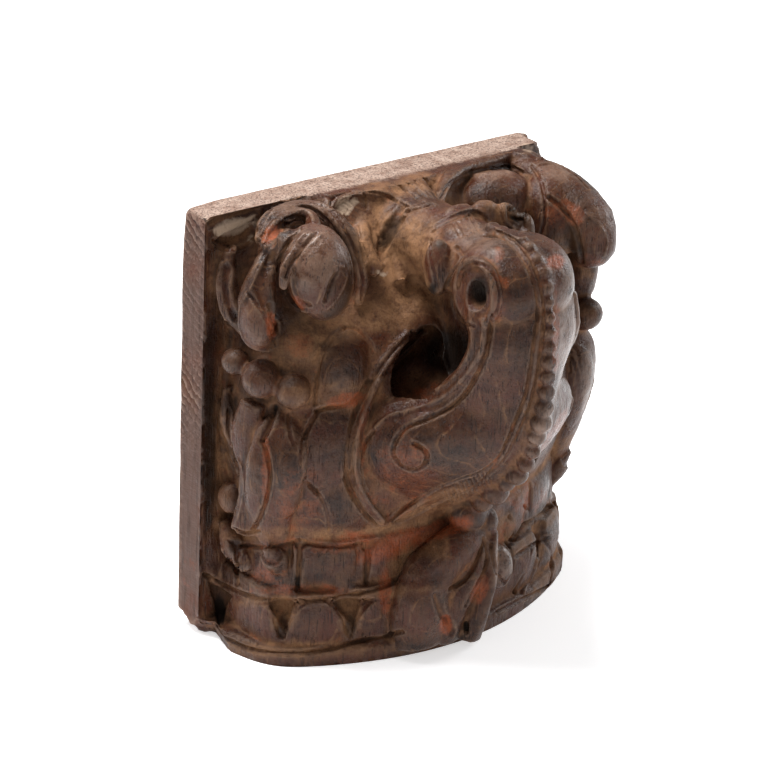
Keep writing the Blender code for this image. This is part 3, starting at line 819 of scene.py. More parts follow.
    def smoothed(self, rounds):
        """Each vertex set between its neighbours, over and over."""
        edges = np.empty(len(self.item.data.edges) * 2, np.int32)
        self.item.data.edges.foreach_get("vertices", edges)
        first, second = edges[0::2], edges[1::2]
        count = len(self.points)
        weight = np.bincount(first, minlength=count) + np.bincount(second, minlength=count)
        result = self.points.copy()
        for _ in range(rounds):
            total = np.empty_like(result)
            for axis in range(3):
                value = result[:, axis]
                total[:, axis] = (np.bincount(first, value[second], count)
                                  + np.bincount(second, value[first], count))
            result = 0.3 * result + 0.7 * total / weight[:, None]
        return result

    def hollowness(self, rounds):
        """How far each vertex lies below the skin around it, in millimetres."""
        return np.einsum("ij,ij->i", self.smoothed(rounds) - self.points, self.normals)

    def keep(self, name, values):
        """Leave values on the skin for the finish to read."""
        attribute = self.item.data.attributes.new(name, "FLOAT", "POINT")
        attribute.data.foreach_set("value", values.astype(np.float32))


# The carver's strokes. Each has its spots on the photograph's frame, then half its width and its
# depth in millimetres. A negative depth leaves a rim that stands up.

BORDER_STROKES = (
    (((486, 236), (500, 238), (513, 246), (523, 258), (530, 272), (536, 290), (538, 310), (536, 330),
      (533, 350), (530, 372), (526, 395), (517, 418), (508, 440), (499, 457), (482, 471), (460, 479),
      (440, 487), (420, 498), (403, 509), (390, 521)), 1.2, 1.5),
    (((497, 232), (512, 238), (524, 249), (533, 264), (540, 284), (543, 305), (543, 330), (540, 355),
      (536, 380), (531, 402), (523, 422), (514, 442), (505, 458), (493, 471), (480, 482)), 0.9, 1.0),
)
SCROLL_STROKES = (
    (((484, 318), (483, 338), (479, 354), (466, 374), (450, 391), (430, 404), (408, 411), (390, 416),
      (376, 427)), 1.8, -1.2),
    (((492, 316), (489, 340), (484, 360), (468, 390), (452, 406), (430, 418), (410, 426), (400, 434),
      (393, 448), (395, 458), (404, 467), (415, 470), (424, 465), (427, 458), (424, 450), (414, 444)),
     1.4, 1.9),
    (((424, 326), (408, 338), (390, 356), (376, 374), (364, 394), (355, 414), (348, 438), (345, 462),
      (348, 484), (356, 500), (366, 514), (378, 525)), 1.7, 1.9),
    (((426, 333), (410, 348), (392, 366), (378, 384), (370, 398), (362, 418), (357, 438), (355, 458),
      (357, 478), (363, 492), (373, 508), (384, 521)), 1.3, -0.9),
    (((373, 432), (366, 442), (362, 457), (362, 472), (366, 488), (374, 503), (383, 516)), 1.1, 1.4),
    (((390, 524), (410, 517), (440, 502), (470, 489), (487, 476), (497, 462)), 1.2, 1.1),
    (((458, 288), (461, 274), (470, 265), (482, 264), (493, 272), (499, 288), (499, 306), (492, 318)),
     1.1, 1.2),
    (((453, 300), (456, 314), (463, 323), (474, 326)), 1.0, 0.9),
)
HEAD_STROKES = (
    (((430, 227), (445, 219), (460, 212), (472, 209), (484, 213), (493, 223)), 1.2, -0.9),
    (((432, 232), (446, 224), (460, 218), (470, 215)), 0.9, 1.2),
    (((460, 222), (464, 229), (469, 236)), 0.7, 0.6),
    (((465, 220), (469, 227), (474, 234)), 0.7, 0.6),
    (((470, 218), (474, 225), (479, 231)), 0.7, 0.6),
    (((456, 247), (462, 254), (458, 264), (450, 277), (445, 292)), 1.3, 1.5),
    (((431, 240), (430, 255), (434, 272), (437, 290)), 1.2, 1.3),
)
CORNER_STROKES = (
    (((288, 206), (300, 205), (311, 209), (321, 215), (331, 225), (340, 237), (347, 250), (351, 266),
      (352, 282)), 1.1, 1.6),
    (((257, 235), (263, 220), (272, 208), (284, 201), (298, 197), (314, 201), (331, 211), (346, 232),
      (357, 256), (363, 280), (362, 300)), 1.2, 1.2),
    (((286, 211), (300, 209), (309, 213), (313, 220), (310, 228), (302, 237), (295, 247), (288, 258),
      (283, 268), (282, 276)), 1.4, -1.2),
    (((286, 219), (297, 216), (304, 219), (303, 226), (295, 235), (286, 246), (280, 257), (277, 270)),
     1.2, 1.8),
    (((321, 222), (317, 231), (308, 241), (300, 251), (293, 263), (286, 277)), 1.3, 2.2),
    (((326, 221), (323, 232), (314, 243), (306, 251), (299, 263), (292, 277)), 1.0, -0.7),
    (((289, 230), (277, 238), (264, 259), (254, 281), (248, 294), (241, 305), (239, 320), (242, 336),
      (250, 346), (263, 351), (273, 350)), 1.0, -0.7),
    (((248, 293), (256, 303), (264, 318), (271, 333), (276, 345)), 1.0, 1.1),
    (((274, 246), (266, 266), (261, 284), (266, 303)), 4.0, 1.8),
    (((271, 306), (273, 318), (275, 332)), 2.0, 3.2),
    (((285, 292), (289, 302), (297, 309), (308, 311)), 1.1, -0.9),
    (((293, 272), (294, 288), (300, 301), (309, 305)), 1.5, 1.6),
    (((336, 272), (331, 282), (328, 292), (325, 301)), 1.3, 1.6),
    (((343, 267), (334, 267), (326, 278), (321, 291), (317, 303)), 1.0, -0.8),
    (((347, 276), (343, 288), (336, 300), (327, 309)), 1.0, -0.6),
    (((213, 240), (220, 248), (231, 250), (244, 247), (254, 238)), 1.1, 1.3),
    (((222, 262), (218, 285), (220, 305), (227, 322), (236, 333)), 1.2, -0.8),
    (((227, 268), (225, 288), (229, 306), (236, 318)), 2.4, 1.6),
)
RIGHT_STROKES = (
    (((536, 160), (548, 158), (562, 161), (576, 168), (590, 180), (602, 195)), 1.2, -1.3),
    (((540, 165), (552, 164), (564, 168), (576, 176), (588, 188)), 1.0, 0.9),
    (((440, 200), (446, 188), (457, 179), (472, 172), (490, 168), (507, 166), (522, 172)), 1.2, 1.5),
    (((549, 198), (560, 206), (569, 217), (576, 230), (580, 246), (582, 262)), 1.6, 2.2),
    (((532, 166), (541, 182), (545, 202), (544, 222), (540, 236)), 1.1, 1.3),
    (((586, 213), (598, 224), (607, 240), (604, 256)), 1.0, -0.7),
    (((497, 200), (502, 212), (503, 226)), 0.8, 0.9),
    (((512, 203), (517, 216), (518, 230)), 0.8, 0.9),
)
LEAF_STROKES = (
    (((338, 201), (347, 194), (362, 191), (378, 193), (393, 199), (408, 207)), 1.0, 1.2),
    (((363, 191), (366, 199), (367, 208)), 0.7, 1.4),
    (((407, 209), (397, 221), (390, 236), (384, 250), (381, 259)), 1.1, -1.0),
    (((403, 207), (392, 220), (385, 234), (380, 248)), 2.6, 2.0),
    (((382, 246), (381, 262)), 2.2, 3.0),
    (((357, 226), (361, 244), (365, 262)), 1.1, 1.4),
    (((377, 224), (380, 242), (384, 252)), 1.1, 1.2),
    (((402, 176), (414, 187), (427, 197)), 1.0, 1.2),
    (((411, 175), (421, 186), (431, 197)), 1.0, 1.2),
    (((420, 171), (428, 183), (436, 196)), 1.1, 1.3),
    (((395, 182), (410, 194), (424, 203)), 0.9, 1.0),
    (((388, 224), (404, 213), (420, 208), (433, 204)), 1.1, 1.4),
)
BELL_STROKES = (
    (((345, 328), (331, 343), (321, 362), (316, 382), (315, 403)), 1.4, 1.3),
    (((345, 328), (356, 330), (368, 340), (374, 353)), 1.1, 0.8),
    (((316, 411), (331, 407), (345, 405), (357, 396), (369, 380)), 1.3, 1.5),
    (((318, 411), (308, 428), (301, 448), (300, 466), (307, 482), (318, 494)), 1.4, 1.4),
    (((300, 478), (311, 486), (321, 498), (327, 512), (329, 530)), 1.2, 1.0),
    (((352, 468), (343, 477), (330, 484), (318, 490)), 1.0, 0.8),
    (((288, 414), (290, 434), (296, 452), (300, 466)), 1.1, 1.0),
    (((262, 441), (267, 455), (270, 474), (267, 497), (260, 518), (253, 529)), 1.3, 2.0),
    (((233, 416), (232, 432), (236, 454), (243, 470), (244, 492), (240, 512), (235, 525)), 1.0, -0.7),
    (((229, 410), (228, 432), (232, 455), (239, 472), (239, 492), (235, 512)), 1.2, 1.6),
    (((275, 408), (269, 426), (262, 440)), 2.0, 2.2),
    (((221, 400), (219, 430), (226, 450), (236, 474)), 1.0, 1.0),
    (((233, 529), (245, 533), (259, 531)), 1.2, 1.8),
)
BASE_STROKES = (
    (((204, 574), (222, 584), (240, 592), (262, 599), (285, 601), (310, 600), (340, 597), (370, 590),
      (392, 584)), 1.4, 1.8),
    (((299, 543), (299, 563), (297, 590)), 1.4, 1.6),
    (((367, 543), (368, 560), (366, 582)), 1.4, 1.6),
    (((238, 543), (237, 565), (236, 586)), 1.6, 2.0),
    (((242, 545), (262, 547), (284, 545), (299, 540)), 1.3, 1.4),
    (((300, 540), (318, 545), (345, 546), (367, 542)), 1.3, 1.4),
    (((258, 603), (268, 612), (276, 625), (281, 637)), 1.0, 1.0),
    (((306, 602), (296, 612), (288, 625), (284, 637)), 1.0, 1.0),
    (((325, 600), (337, 610), (345, 624), (350, 639)), 1.0, 1.0),
    (((373, 600), (362, 611), (355, 624), (351, 639)), 1.0, 1.0),
    (((209, 577), (216, 590), (219, 606), (218, 626)), 1.1, 1.4),
    (((228, 599), (224, 612), (221, 627)), 1.1, 1.2),
    (((283, 630), (283, 637)), 1.3, 3.2),
    (((298, 576), (298, 584)), 1.1, 2.4),
    (((199, 623), (215, 634), (235, 643), (252, 649), (270, 652), (300, 652), (330, 648), (360, 641),
      (390, 634), (402, 632)), 1.5, 2.2),
)
RIGHT_BASE_STROKES = (
    (((540, 540), (536, 560), (529, 578), (523, 592)), 1.6, -1.6),
    (((531, 545), (526, 562), (518, 580), (514, 592)), 1.6, 2.0),
    (((545, 541), (549, 556), (552, 570), (550, 582)), 1.8, 2.2),
    (((512, 540), (520, 528), (532, 518), (546, 508), (556, 503)), 1.6, 2.0),
    (((508, 516), (512, 528), (510, 540)), 1.4, 2.0),
    (((516, 556), (530, 546), (546, 538), (562, 533)), 1.5, 2.2),
    (((497, 612), (515, 603), (533, 594), (548, 586), (562, 574)), 1.3, 2.0),
    (((522, 505), (530, 512), (534, 522)), 1.2, 1.4),
    (((560, 548), (562, 560), (560, 570)), 1.4, 1.4),
)
BASE_LEAF_STROKES = (
    (((450, 589), (464, 580), (474, 566), (480, 552), (483, 538)), 1.3, 1.8),
    (((484, 540), (487, 556), (483, 572), (474, 590), (466, 606)), 1.3, 1.6),
    (((436, 596), (441, 610), (447, 622), (452, 634)), 2.6, 1.8),
    (((466, 624), (466, 632)), 1.6, 3.0),
    (((491, 545), (493, 560), (498, 576), (505, 583)), 1.2, 1.8),
    (((505, 542), (512, 552), (513, 570), (506, 582)), 1.0, 1.0),
)


# Rounded and hollowed places: the oval's middle, half sizes and turn on the photograph's frame, then
# how far it stands up in millimetres. The first lot has its twins on the other side.

SWELLS = (
    ((343, 368, 27, 42, 8), 2.2), ((330, 450, 29, 44, 20), 2.0), ((292, 478, 18, 50, 0), 1.4),
    ((345, 515, 26, 24, 0), 1.2), ((268, 571, 31, 25, 4), 2.0), ((333, 567, 33, 24, 0), 2.0),
    ((384, 562, 17, 22, 0), 1.6), ((220, 558, 16, 26, 0), 1.4), ((250, 620, 26, 26, 0), 1.6),
    ((316, 624, 27, 27, 0), 1.8), ((378, 620, 22, 24, 0), 1.6), ((284, 606, 14, 10, 0), -1.4),
    ((349, 607, 14, 10, 0), -1.4), ((410, 455, 12, 12, 0), 0.8), ((258, 325, 13, 24, -20), 1.2),
    ((300, 340, 20, 24, 0), 1.2),
)
LONE_SWELLS = (
    ((318, 262, 22, 34, 20), 1.0), ((408, 268, 22, 50, 10), -1.6), ((498, 250, 18, 12, 30), 0.6),
    ((415, 600, 26, 30, 0), 1.2), ((420, 565, 30, 14, -15), 1.0),
)

# Ground sunk inside outlines drawn on the photograph's frame: the outline, how deep in millimetres
# and how wide its sloping edge is on the frame

FIELDS = (
    (((254, 602), (266, 606), (274, 614), (279, 625), (281, 639), (286, 639), (288, 626), (293, 615),
      (301, 607), (312, 602), (283, 599)), 3.4, 4.5),
    (((320, 600), (332, 605), (341, 613), (347, 624), (349, 640), (354, 640), (357, 625), (362, 614),
      (369, 606), (381, 598), (350, 597)), 3.4, 4.5),
    (((205, 574), (233, 596), (227, 606), (223, 618), (221, 629), (216, 626), (214, 606)), 3.0, 4.0),
    (((286, 539), (313, 541), (304, 550), (302, 590), (296, 590), (296, 551)), 2.2, 3.0),
    (((353, 543), (381, 537), (372, 552), (369, 584), (363, 584), (364, 553)), 2.2, 3.0),
    (((224, 538), (252, 543), (241, 552), (240, 586), (234, 586), (234, 552)), 2.2, 3.0),
    (((210, 243), (222, 233), (240, 225), (256, 219), (259, 231), (250, 241), (236, 250), (221, 251)),
     4.5, 7.0),
    (((207, 232), (225, 226), (250, 218), (262, 212), (258, 206), (236, 210), (214, 216), (206, 222)),
     2.2, 5.0),
    (((258, 247), (263, 232), (274, 221), (288, 217), (290, 224), (280, 236), (270, 250)), 2.4, 4.0),
    (((383, 222), (398, 214), (410, 212), (402, 226), (392, 244), (385, 262), (379, 262), (379, 240)),
     3.0, 5.0),
    (((325, 196), (336, 189), (352, 184), (362, 187), (350, 195), (338, 203), (330, 210)), 3.0, 4.0),
    (((452, 182), (470, 173), (492, 170), (505, 170), (492, 176), (470, 181), (455, 192)), -1.2, 5.0),
    (((505, 198), (520, 200), (530, 210), (530, 232), (518, 234), (506, 220)), 3.5, 5.0),
)


# Rows of short strokes: the first and the last spot on the frame, how many, how far each reaches there,
# half its width and its depth in millimetres, then how far over its twin lies on the right, or None

HATCHING = (
    ((261, 243), (285, 222), 8, (4, 4), 0.7, 0.9, 10.0), ((338, 213), (350, 202), 5, (4, 3), 0.6, 0.6, 14.0),
    ((447, 498), (489, 478), 11, (3, 7), 0.7, 0.6, 0.0), ((457, 230), (474, 222), 5, (4, 7), 0.7, 0.7, None),
)


def shape_ground(wood):
    """The swells and the sunk ground, which the strokes are then cut into."""
    for oval, height in SWELLS:
        wood.swell(oval, height)
        wood.swell(oval, height, twin=True)
    for oval, height in LONE_SWELLS:
        wood.swell(oval, height)
    for outline, depth, slope in FIELDS:
        wood.field(outline, depth, slope)


def carve_strokes(wood):
    """Every stroke on the side that shows; those of the scroll and the bell have twins on the other."""
    for strokes in (BORDER_STROKES, SCROLL_STROKES, HEAD_STROKES, CORNER_STROKES, LEAF_STROKES, RIGHT_STROKES,
                    BELL_STROKES, BASE_STROKES, BASE_LEAF_STROKES, RIGHT_BASE_STROKES):
        for spots, width, depth in strokes:
            path = wood.line(spots)
            wood.cut(path, width, depth)
            if strokes in (SCROLL_STROKES, BELL_STROKES):
                wood.cut(wood.mirrored(path), width, depth)
    for row in HATCHING:
        hatch(wood, *row)


def hatch(wood, start, stop, count, reach, width, depth, shift):
    """Short strokes side by side, from one spot to another, each reaching across that way."""
    start, stop, reach = np.array(start, float), np.array(stop, float), np.array(reach, float)
    for index in range(count):
        spot = start + (stop - start) * index / (count - 1)
        path = wood.line((spot - reach, spot, spot + reach), steps=3)
        if len(path) > 1:
            wood.cut(path, width, depth)
            if shift is not None:
                wood.cut(wood.mirrored(path, shift), width, depth)


# Saw marks: how far a cut climbs for each millimetre across the face, its pitch and its seed

SIDE_SAW = (-0.62, 5.2, 5)
SIDE_FINE_SAW = (-0.7, 1.5, 8)
BACK_SAW = (0.12, 7.4, 11)
BACK_FINE_SAW = (0.10, 2.3, 12)
TOP_SAW = (0.35, 2.6, 17)

# How deep the marks of tools and time go, in millimetres

SIDE_SAW_DEPTH = 0.85
SIDE_FINE_DEPTH = 0.35
SIDE_SCRATCHES = 0.2
SIDE_ALLOWANCE = 0.05
BACK_SAW_DEPTH = 0.2
BACK_FINE_DEPTH = 0.07
BACK_HOLLOWS = 0.14
TOP_SAW_DEPTH = 0.22
TOP_PITS = 0.25
TOP_HOLLOWS = 0.12
UNDERSIDE_HOLLOWS = 0.12
GOUGE_DEPTH = 0.3
GOUGE_SWELLS = 0.16
GOUGE_ROUGHNESS = 0.07
GRAIN_DEPTH = 0.07


def saw_marks(points, along, over, saw):
    """The depth of saw cuts that cross a face: steps of uneven pitch, from 0 to 1."""
    climb, pitch, seed = saw
    run = along + climb * over + pitch * (0.7 * noise(points, 30.0, seed) + 0.22 * noise(points, 6.0, seed + 1)
                                          + 0.14 * noise(points, 1.6, seed + 2))
    share = run / pitch
    part = share - np.floor(share)
    depth = 0.6 + 0.7 * noise(points, 16.0, seed + 3)
    return part ** 2 * np.clip(depth, 0, 1.3)


def weather(wood):
    """Saw marks on the flat faces, gouge marks on the carving, and worn and broken corners."""
    x, y, z = wood.points.T
    nx, ny, nz = wood.normals.T
    side = (np.abs(x) > HIGH[0] - 1.0) & (np.abs(nx) > 0.5)
    back = (y > BACK_Y - 1.0) & (ny > 0.5)
    top = (z > HEIGHT - 1.0) & (nz > 0.5)
    under = (z < 1.0) & (nz < -0.5)
    carved = ~(side | back | top | under)
    rough = np.clip((z - 85) / 25, 0.15, 1) * np.clip(0.75 + 0.5 * noise(wood.points, 30, 3), 0, 1)
    coarse = saw_marks(wood.points, z, y, SIDE_SAW)
    fine = saw_marks(wood.points, z, y, SIDE_FINE_SAW)
    scratched = np.clip(noise(wood.points * (1, 0.5, 1), 1.3, 9), 0, 1)
    marks = rough * (SIDE_SAW_DEPTH * coarse + SIDE_FINE_DEPTH * fine + SIDE_SCRATCHES * scratched)
    wood.push[side] -= marks[side] + SIDE_ALLOWANCE
    coarse = saw_marks(wood.points, z, x, BACK_SAW)
    fine = saw_marks(wood.points, z, x, BACK_FINE_SAW)
    planed = np.clip(0.5 + 1.2 * noise(wood.points, 40, 15), 0.1, 1)
    marks = planed * (BACK_SAW_DEPTH * coarse + BACK_FINE_DEPTH * fine)
    wood.push[back] -= (marks + BACK_HOLLOWS * (noise(wood.points, 14, 14) + 1))[back]
    cross = saw_marks(wood.points, x, y, TOP_SAW)
    pits = np.clip(noise(wood.points, 1.6, 19) - 0.25, 0, 1)
    wood.push[top] -= (TOP_SAW_DEPTH * cross + TOP_PITS * pits
                       + TOP_HOLLOWS * (noise(wood.points, 12, 20) + 1))[top]
    wood.push[under] -= (UNDERSIDE_HOLLOWS * (noise(wood.points, 7, 23) + 1))[under]
    scoops = np.abs(noise(wood.points, 6.5, 31)) + 0.5 * np.abs(noise(wood.points, 3.0, 33))
    gouged = (GOUGE_DEPTH * (0.35 - scoops) + GOUGE_SWELLS * noise(wood.points, 11, 34)
              + GOUGE_ROUGHNESS * noise(wood.points, 1.6, 35))
    gouged += GRAIN_DEPTH * noise(wood.points * (1, 1, 0.16), 1.5, 29)
    wood.push[carved] += gouged[carved]


def shave(wood, point, normal, reach, roughness, seed):
    """Break or wear a corner away within reach of a point, down to an uneven plane."""
    normal = np.array(normal, float) / np.linalg.norm(normal)
    offset = wood.points - np.array(point, float)
    over = offset @ normal - np.clip(np.linalg.norm(offset, axis=1) - reach, 0, None)
    over += roughness * (noise(wood.points, 4.0, seed) + 0.6 * noise(wood.points, 1.7, seed + 1))
    wood.points -= np.clip(over, 0, None)[:, None] * normal


# How round the block's edges are worn, in millimetres: everywhere, unevenly, and at the top left corner

EDGE_ROUNDING = 1.1
EDGE_UNEVENNESS = 0.5
CORNER_ROUNDING = 3.2
CORNER_REACH = 14

# Broken corners: a point on the break, the way it faces, how far it reaches, how rough it is and its seed

BREAKS = (
    ((-105.5, 66, 5), (-0.6, 0.35, -0.7), 16, 0.8, 43), ((-106, 54, 6), (-0.7, -0.5, -0.5), 10, 0.6, 44),
    ((101, 62, 218), (0.55, -0.25, 0.75), 13, 1.2, 47), ((104, 56, 211), (0.8, -0.6, 0.3), 10, 0.9, 51),
)


def wear_corners(wood):
    """Round the edges of the block a little and its top left corner more, then break its corners."""
    half = (HIGH - LOW) / 2
    middle = (HIGH + LOW) / 2
    offset = wood.points - middle
    corner = np.exp(-(((offset[:, 0] + half[0]) / CORNER_REACH) ** 2
                      + ((offset[:, 2] - half[2]) / CORNER_REACH) ** 2))
    radius = EDGE_ROUNDING + EDGE_UNEVENNESS * noise(wood.points, 11, 41) + CORNER_ROUNDING * corner
    inner = half - radius[:, None]
    over = np.abs(offset) - inner
    beyond = np.clip(over, 0, None)
    length = np.linalg.norm(beyond, axis=1)
    outside = length > radius
    scale = np.where(outside, radius / np.maximum(length, 1e-9), 1.0)
    fitted = np.sign(offset) * (inner + beyond * scale[:, None])
    offset = np.where(over > 0, fitted, offset)
    wood.points[:] = offset + middle
    for broken in BREAKS:
        shave(wood, *broken)


# What the finish needs to know: how strongly each oval of the frame shows old paint, fresh broken wood,
# pale dust, painted shade, or worn wood with a painted highlight. A splinter is a line on the frame that shows
# fresh wood.

PAINT = (
    ((271, 325, 7, 17, -5), 1.0), ((297, 303, 12, 8, 30), 0.7), ((345, 400, 26, 9, -10), 0.8),
    ((300, 345, 22, 16, 0), 0.45), ((266, 470, 6, 46, 0), 0.55), ((395, 545, 50, 16, -22), 0.75),
    ((300, 590, 60, 8, 0), 0.5), ((268, 572, 24, 16, 0), 0.4), ((355, 540, 30, 10, 0), 0.6),
    ((440, 530, 42, 12, -18), 0.8), ((446, 625, 8, 12, 0), 0.9), ((480, 590, 10, 22, 20), 0.6),
    ((385, 590, 8, 30, 0), 0.7), ((361, 445, 6, 70, 5), 0.35), ((500, 535, 30, 14, -20), 0.4),
    ((530, 500, 24, 16, -20), 0.35), ((588, 262, 22, 10, 0), 0.4), ((575, 215, 16, 14, 30), 0.45),
    ((270, 235, 14, 9, -45), 0.6), ((425, 395, 50, 9, -22), 0.5), ((186, 570, 14, 26, 0), 0.25),
    ((556, 262, 12, 10, 0), 0.7), ((550, 440, 6, 50, 30), 0.55), ((556, 330, 5, 60, 0), 0.5),
    ((560, 215, 24, 20, 0), 0.4), ((520, 495, 20, 22, 30), 0.45), ((330, 545, 110, 10, 0), 0.45),
    ((500, 290, 10, 60, 0), 0.35), ((400, 480, 40, 60, 0), 0.3), ((300, 500, 30, 50, 0), 0.3),
)
FRESH = (((528, 148, 10, 6, 20), 0.5), ((232, 227, 24, 11, -14), 0.8), ((345, 206, 10, 9, -30), 0.75))
SPLINTERS = (
    ((208, 222), (220, 219), (234, 215), (250, 211)), ((210, 226), (224, 224), (240, 222), (256, 216)),
    ((213, 230), (226, 230), (242, 229), (257, 222)), ((218, 233), (230, 235), (244, 234), (255, 228)),
    ((222, 226), (234, 230), (246, 238), (251, 241)), ((236, 219), (244, 226), (252, 236)),
    ((240, 239), (246, 238), (250, 234)), ((338, 210), (343, 203), (350, 196)),
    ((342, 213), (347, 206), (354, 199)), ((336, 206), (340, 200), (346, 195)),
    ((347, 214), (352, 206), (357, 201)), ((378, 272), (383, 275), (388, 273)),
)
DUST = (
    ((408, 268, 40, 66, 10), 1.0), ((378, 240, 26, 40, 0), 1.0), ((338, 322, 56, 24, -10), 1.0),
    ((385, 310, 40, 26, 0), 0.9), ((300, 352, 34, 20, 0), 0.8),
    ((284, 612, 16, 22, 0), 0.8), ((350, 615, 14, 24, 0), 0.8), ((300, 650, 100, 10, 0), 0.6),
    ((390, 530, 60, 14, -20), 0.5), ((500, 525, 20, 18, 0), 0.7), ((240, 238, 24, 12, 0), 0.6),
    ((565, 250, 20, 30, 0), 0.4), ((500, 205, 26, 20, 0), 0.4), ((420, 182, 26, 12, 0), 0.6),
    ((220, 470, 12, 90, 0), 0.35), ((330, 395, 60, 18, 0), 0.45), ((300, 535, 110, 9, 0), 0.55),
    ((330, 596, 130, 7, -4), 0.5), ((430, 505, 50, 12, -22), 0.5), ((355, 470, 14, 50, 0), 0.25),
)
# Painted shade: near-black ovals where shade falls, in the deep hollow beside the scroll, the eyes, the groove
# beside the board and the darts between petals.
PAINTED_SHADE_OVALS = (
    ((448, 352, 34, 30, -25), 1.0), ((209, 430, 8, 190, 0), 0.8), ((479, 289, 12, 15, 0), 1.0),
    ((432, 290, 6, 8, 0), 1.0), ((390, 232, 9, 22, 30), 0.8), ((283, 626, 7, 14, 0), 0.7),
    ((351, 626, 7, 14, 0), 0.7), ((219, 612, 7, 18, 0), 0.8), ((330, 288, 5, 13, 25), 0.5),
    ((272, 300, 5, 10, 0), 0.6), ((298, 580, 4, 7, 0), 1.0), ((520, 215, 12, 16, 0), 0.8),
    ((573, 240, 9, 26, -20), 0.7), ((466, 628, 4, 6, 0), 1.0), ((235, 546, 9, 10, 0), 0.7),
    ((229, 404, 10, 12, 0), 0.6), ((275, 410, 12, 7, -30), 0.5),
)
# Worn high spots, set where highlights fall: their lighter brown is partly wear and partly a painted
# highlight.
WORN_AND_HIGHLIGHT_OVALS = (
    ((316, 258, 30, 40, 15), 0.8), ((300, 206, 40, 10, -5), 0.5), ((478, 238, 30, 16, 20), 0.6),
    ((570, 330, 16, 80, 0), 0.7), ((545, 430, 12, 40, 35), 0.8), ((500, 562, 15, 24, 0), 0.9),
    ((492, 172, 26, 9, -5), 0.9), ((556, 172, 22, 10, 15), 0.7), ((588, 222, 24, 34, -25), 0.35),
    ((255, 325, 14, 24, -15), 0.3), ((590, 390, 10, 50, 0), 0.7), ((362, 222, 7, 14, 0), 0.8),
    ((466, 228, 16, 12, 0), 0.5), ((455, 200, 16, 9, 0), 0.5),
)


# Each kind of mark, its ovals and whether they have twins on the other side
MARKS = (("paint", PAINT, False), ("fresh", FRESH, False), ("dust", DUST, True), ("painted_shade_mark", PAINTED_SHADE_OVALS, True),
         ("worn", WORN_AND_HIGHLIGHT_OVALS, False))
MARK_REACH = 22.0
MARK_FULLNESS = 1.6

# Hollows and edges: over how many rounds of smoothing, and how many millimetres count in full
HOLLOW_ROUNDS, FULL_HOLLOW = 90, 1.6
EDGE_ROUNDS, FULL_EDGE = 5, 0.22

# How deep under the box's sides, its back and its top the wood is still sawn, in millimetres
SAWN_DEPTH = 2.5
END_GRAIN_DEPTH = 2.2


def keep_marks(wood):
    """Leave on the skin what the finish needs: hollows, edges, places with old paint, painted shade, worn
    places with a painted highlight, sawn faces.
    """
    wood.keep("hollow", np.clip(wood.hollowness(HOLLOW_ROUNDS) / FULL_HOLLOW, -1, 1))
    wood.keep("edge", np.clip(-wood.hollowness(EDGE_ROUNDS) / FULL_EDGE, -1, 1))
    for name, ovals, both_sides in MARKS:
        values = np.zeros(len(wood.points))
        for oval, strength in ovals:
            for twin in (False, True) if both_sides else (False,):
                inside, share = wood.patch(oval, twin, MARK_REACH)
                values[inside] = np.maximum(values[inside], strength * np.clip(share * MARK_FULLNESS, 0, 1))
        if name == "fresh":
            for spots in SPLINTERS:
                inside, gap = wood.near(wood.line(spots), SPLINTER_WIDTH)
                values[inside] = np.maximum(values[inside], 1 - gap / SPLINTER_WIDTH)
        wood.keep(name, values)
    x, y, z = wood.points.T
    nx, ny, nz = wood.normals.T
    ahead = FACE_Y - y
    sides = (np.abs(nx) > 0.6) & (np.abs(x) > HIGH[0] - SAWN_DEPTH) & (ahead < 1)
    back = (ny > 0.6) & (y > BACK_Y - SAWN_DEPTH)
    wood.keep("sawn", np.where(sides | back, 1.0, 0.0))
    wood.keep("end_grain", np.where((nz > 0.6) & (z > HEIGHT - END_GRAIN_DEPTH) & (ahead < 1.5), 1.0, 0.0))


def thin_out(item):
    """Drop triangles where the skin is smooth, down to the goal."""
    item.data.calc_loop_triangles()
    thin = item.modifiers.new("fewer faces", "DECIMATE")
    thin.ratio = TRIANGLE_GOAL / len(item.data.loop_triangles)
    settle(item)


def make_camera():
    """The photograph's camera."""
    camera = bpy.data.cameras.new("camera")
    camera.sensor_width = 36
    camera.lens = FOCAL_PIXELS * camera.sensor_width / PHOTO_SIZE
    camera.shift_x = SHIFT_RIGHT / PHOTO_SIZE
    camera.shift_y = SHIFT_UP / PHOTO_SIZE
    camera.clip_end = 20
    item = add_object("camera", camera)
    matrix = Matrix([Vector(axis) for axis in (RIGHT, UP, BACK)]).transposed().to_4x4()
    matrix.translation = Vector(EYE * MM)
    item.matrix_world = matrix
    bpy.context.scene.camera = item


# The studio: a pale floor that glows a little, an even sky and three soft lights. Each light has its
# direction from the work, its distance and size in metres and its power in watts.

WHITE = (1, 1, 1, 1)
FLOOR_COLOUR = (0.92, 0.92, 0.93, 1)
FLOOR_HALF_SIZE = 8
FLOOR_ROUGHNESS = 0.6
FLOOR_GLOW = 0.55
SKY_STRENGTH = 0.35
LIGHTS = (
    ("overhead", (-0.2, 0.25, 1.0), 1.0, 0.5, 18.5),
    ("right", RIGHT * 1.0 + UP * 0.55 - BACK * 0.45, 0.9, 0.3, 3.2),
    ("left", -RIGHT * 1.0 + UP * 0.7 + BACK * 0.2, 1.1, 0.3, 3.5),
)


def add_light(name, direction, distance, size, power):
    """A soft square light that looks at the work from a direction."""
    light = bpy.data.lights.new(name, "AREA")
    light.size = size
    light.energy = power
    item = add_object(name, light)
    way = Vector(direction).normalized()
    item.location = Vector(EYE_TARGET * MM) + way * distance
    item.rotation_euler = way.to_track_quat("Z", "Y").to_euler()


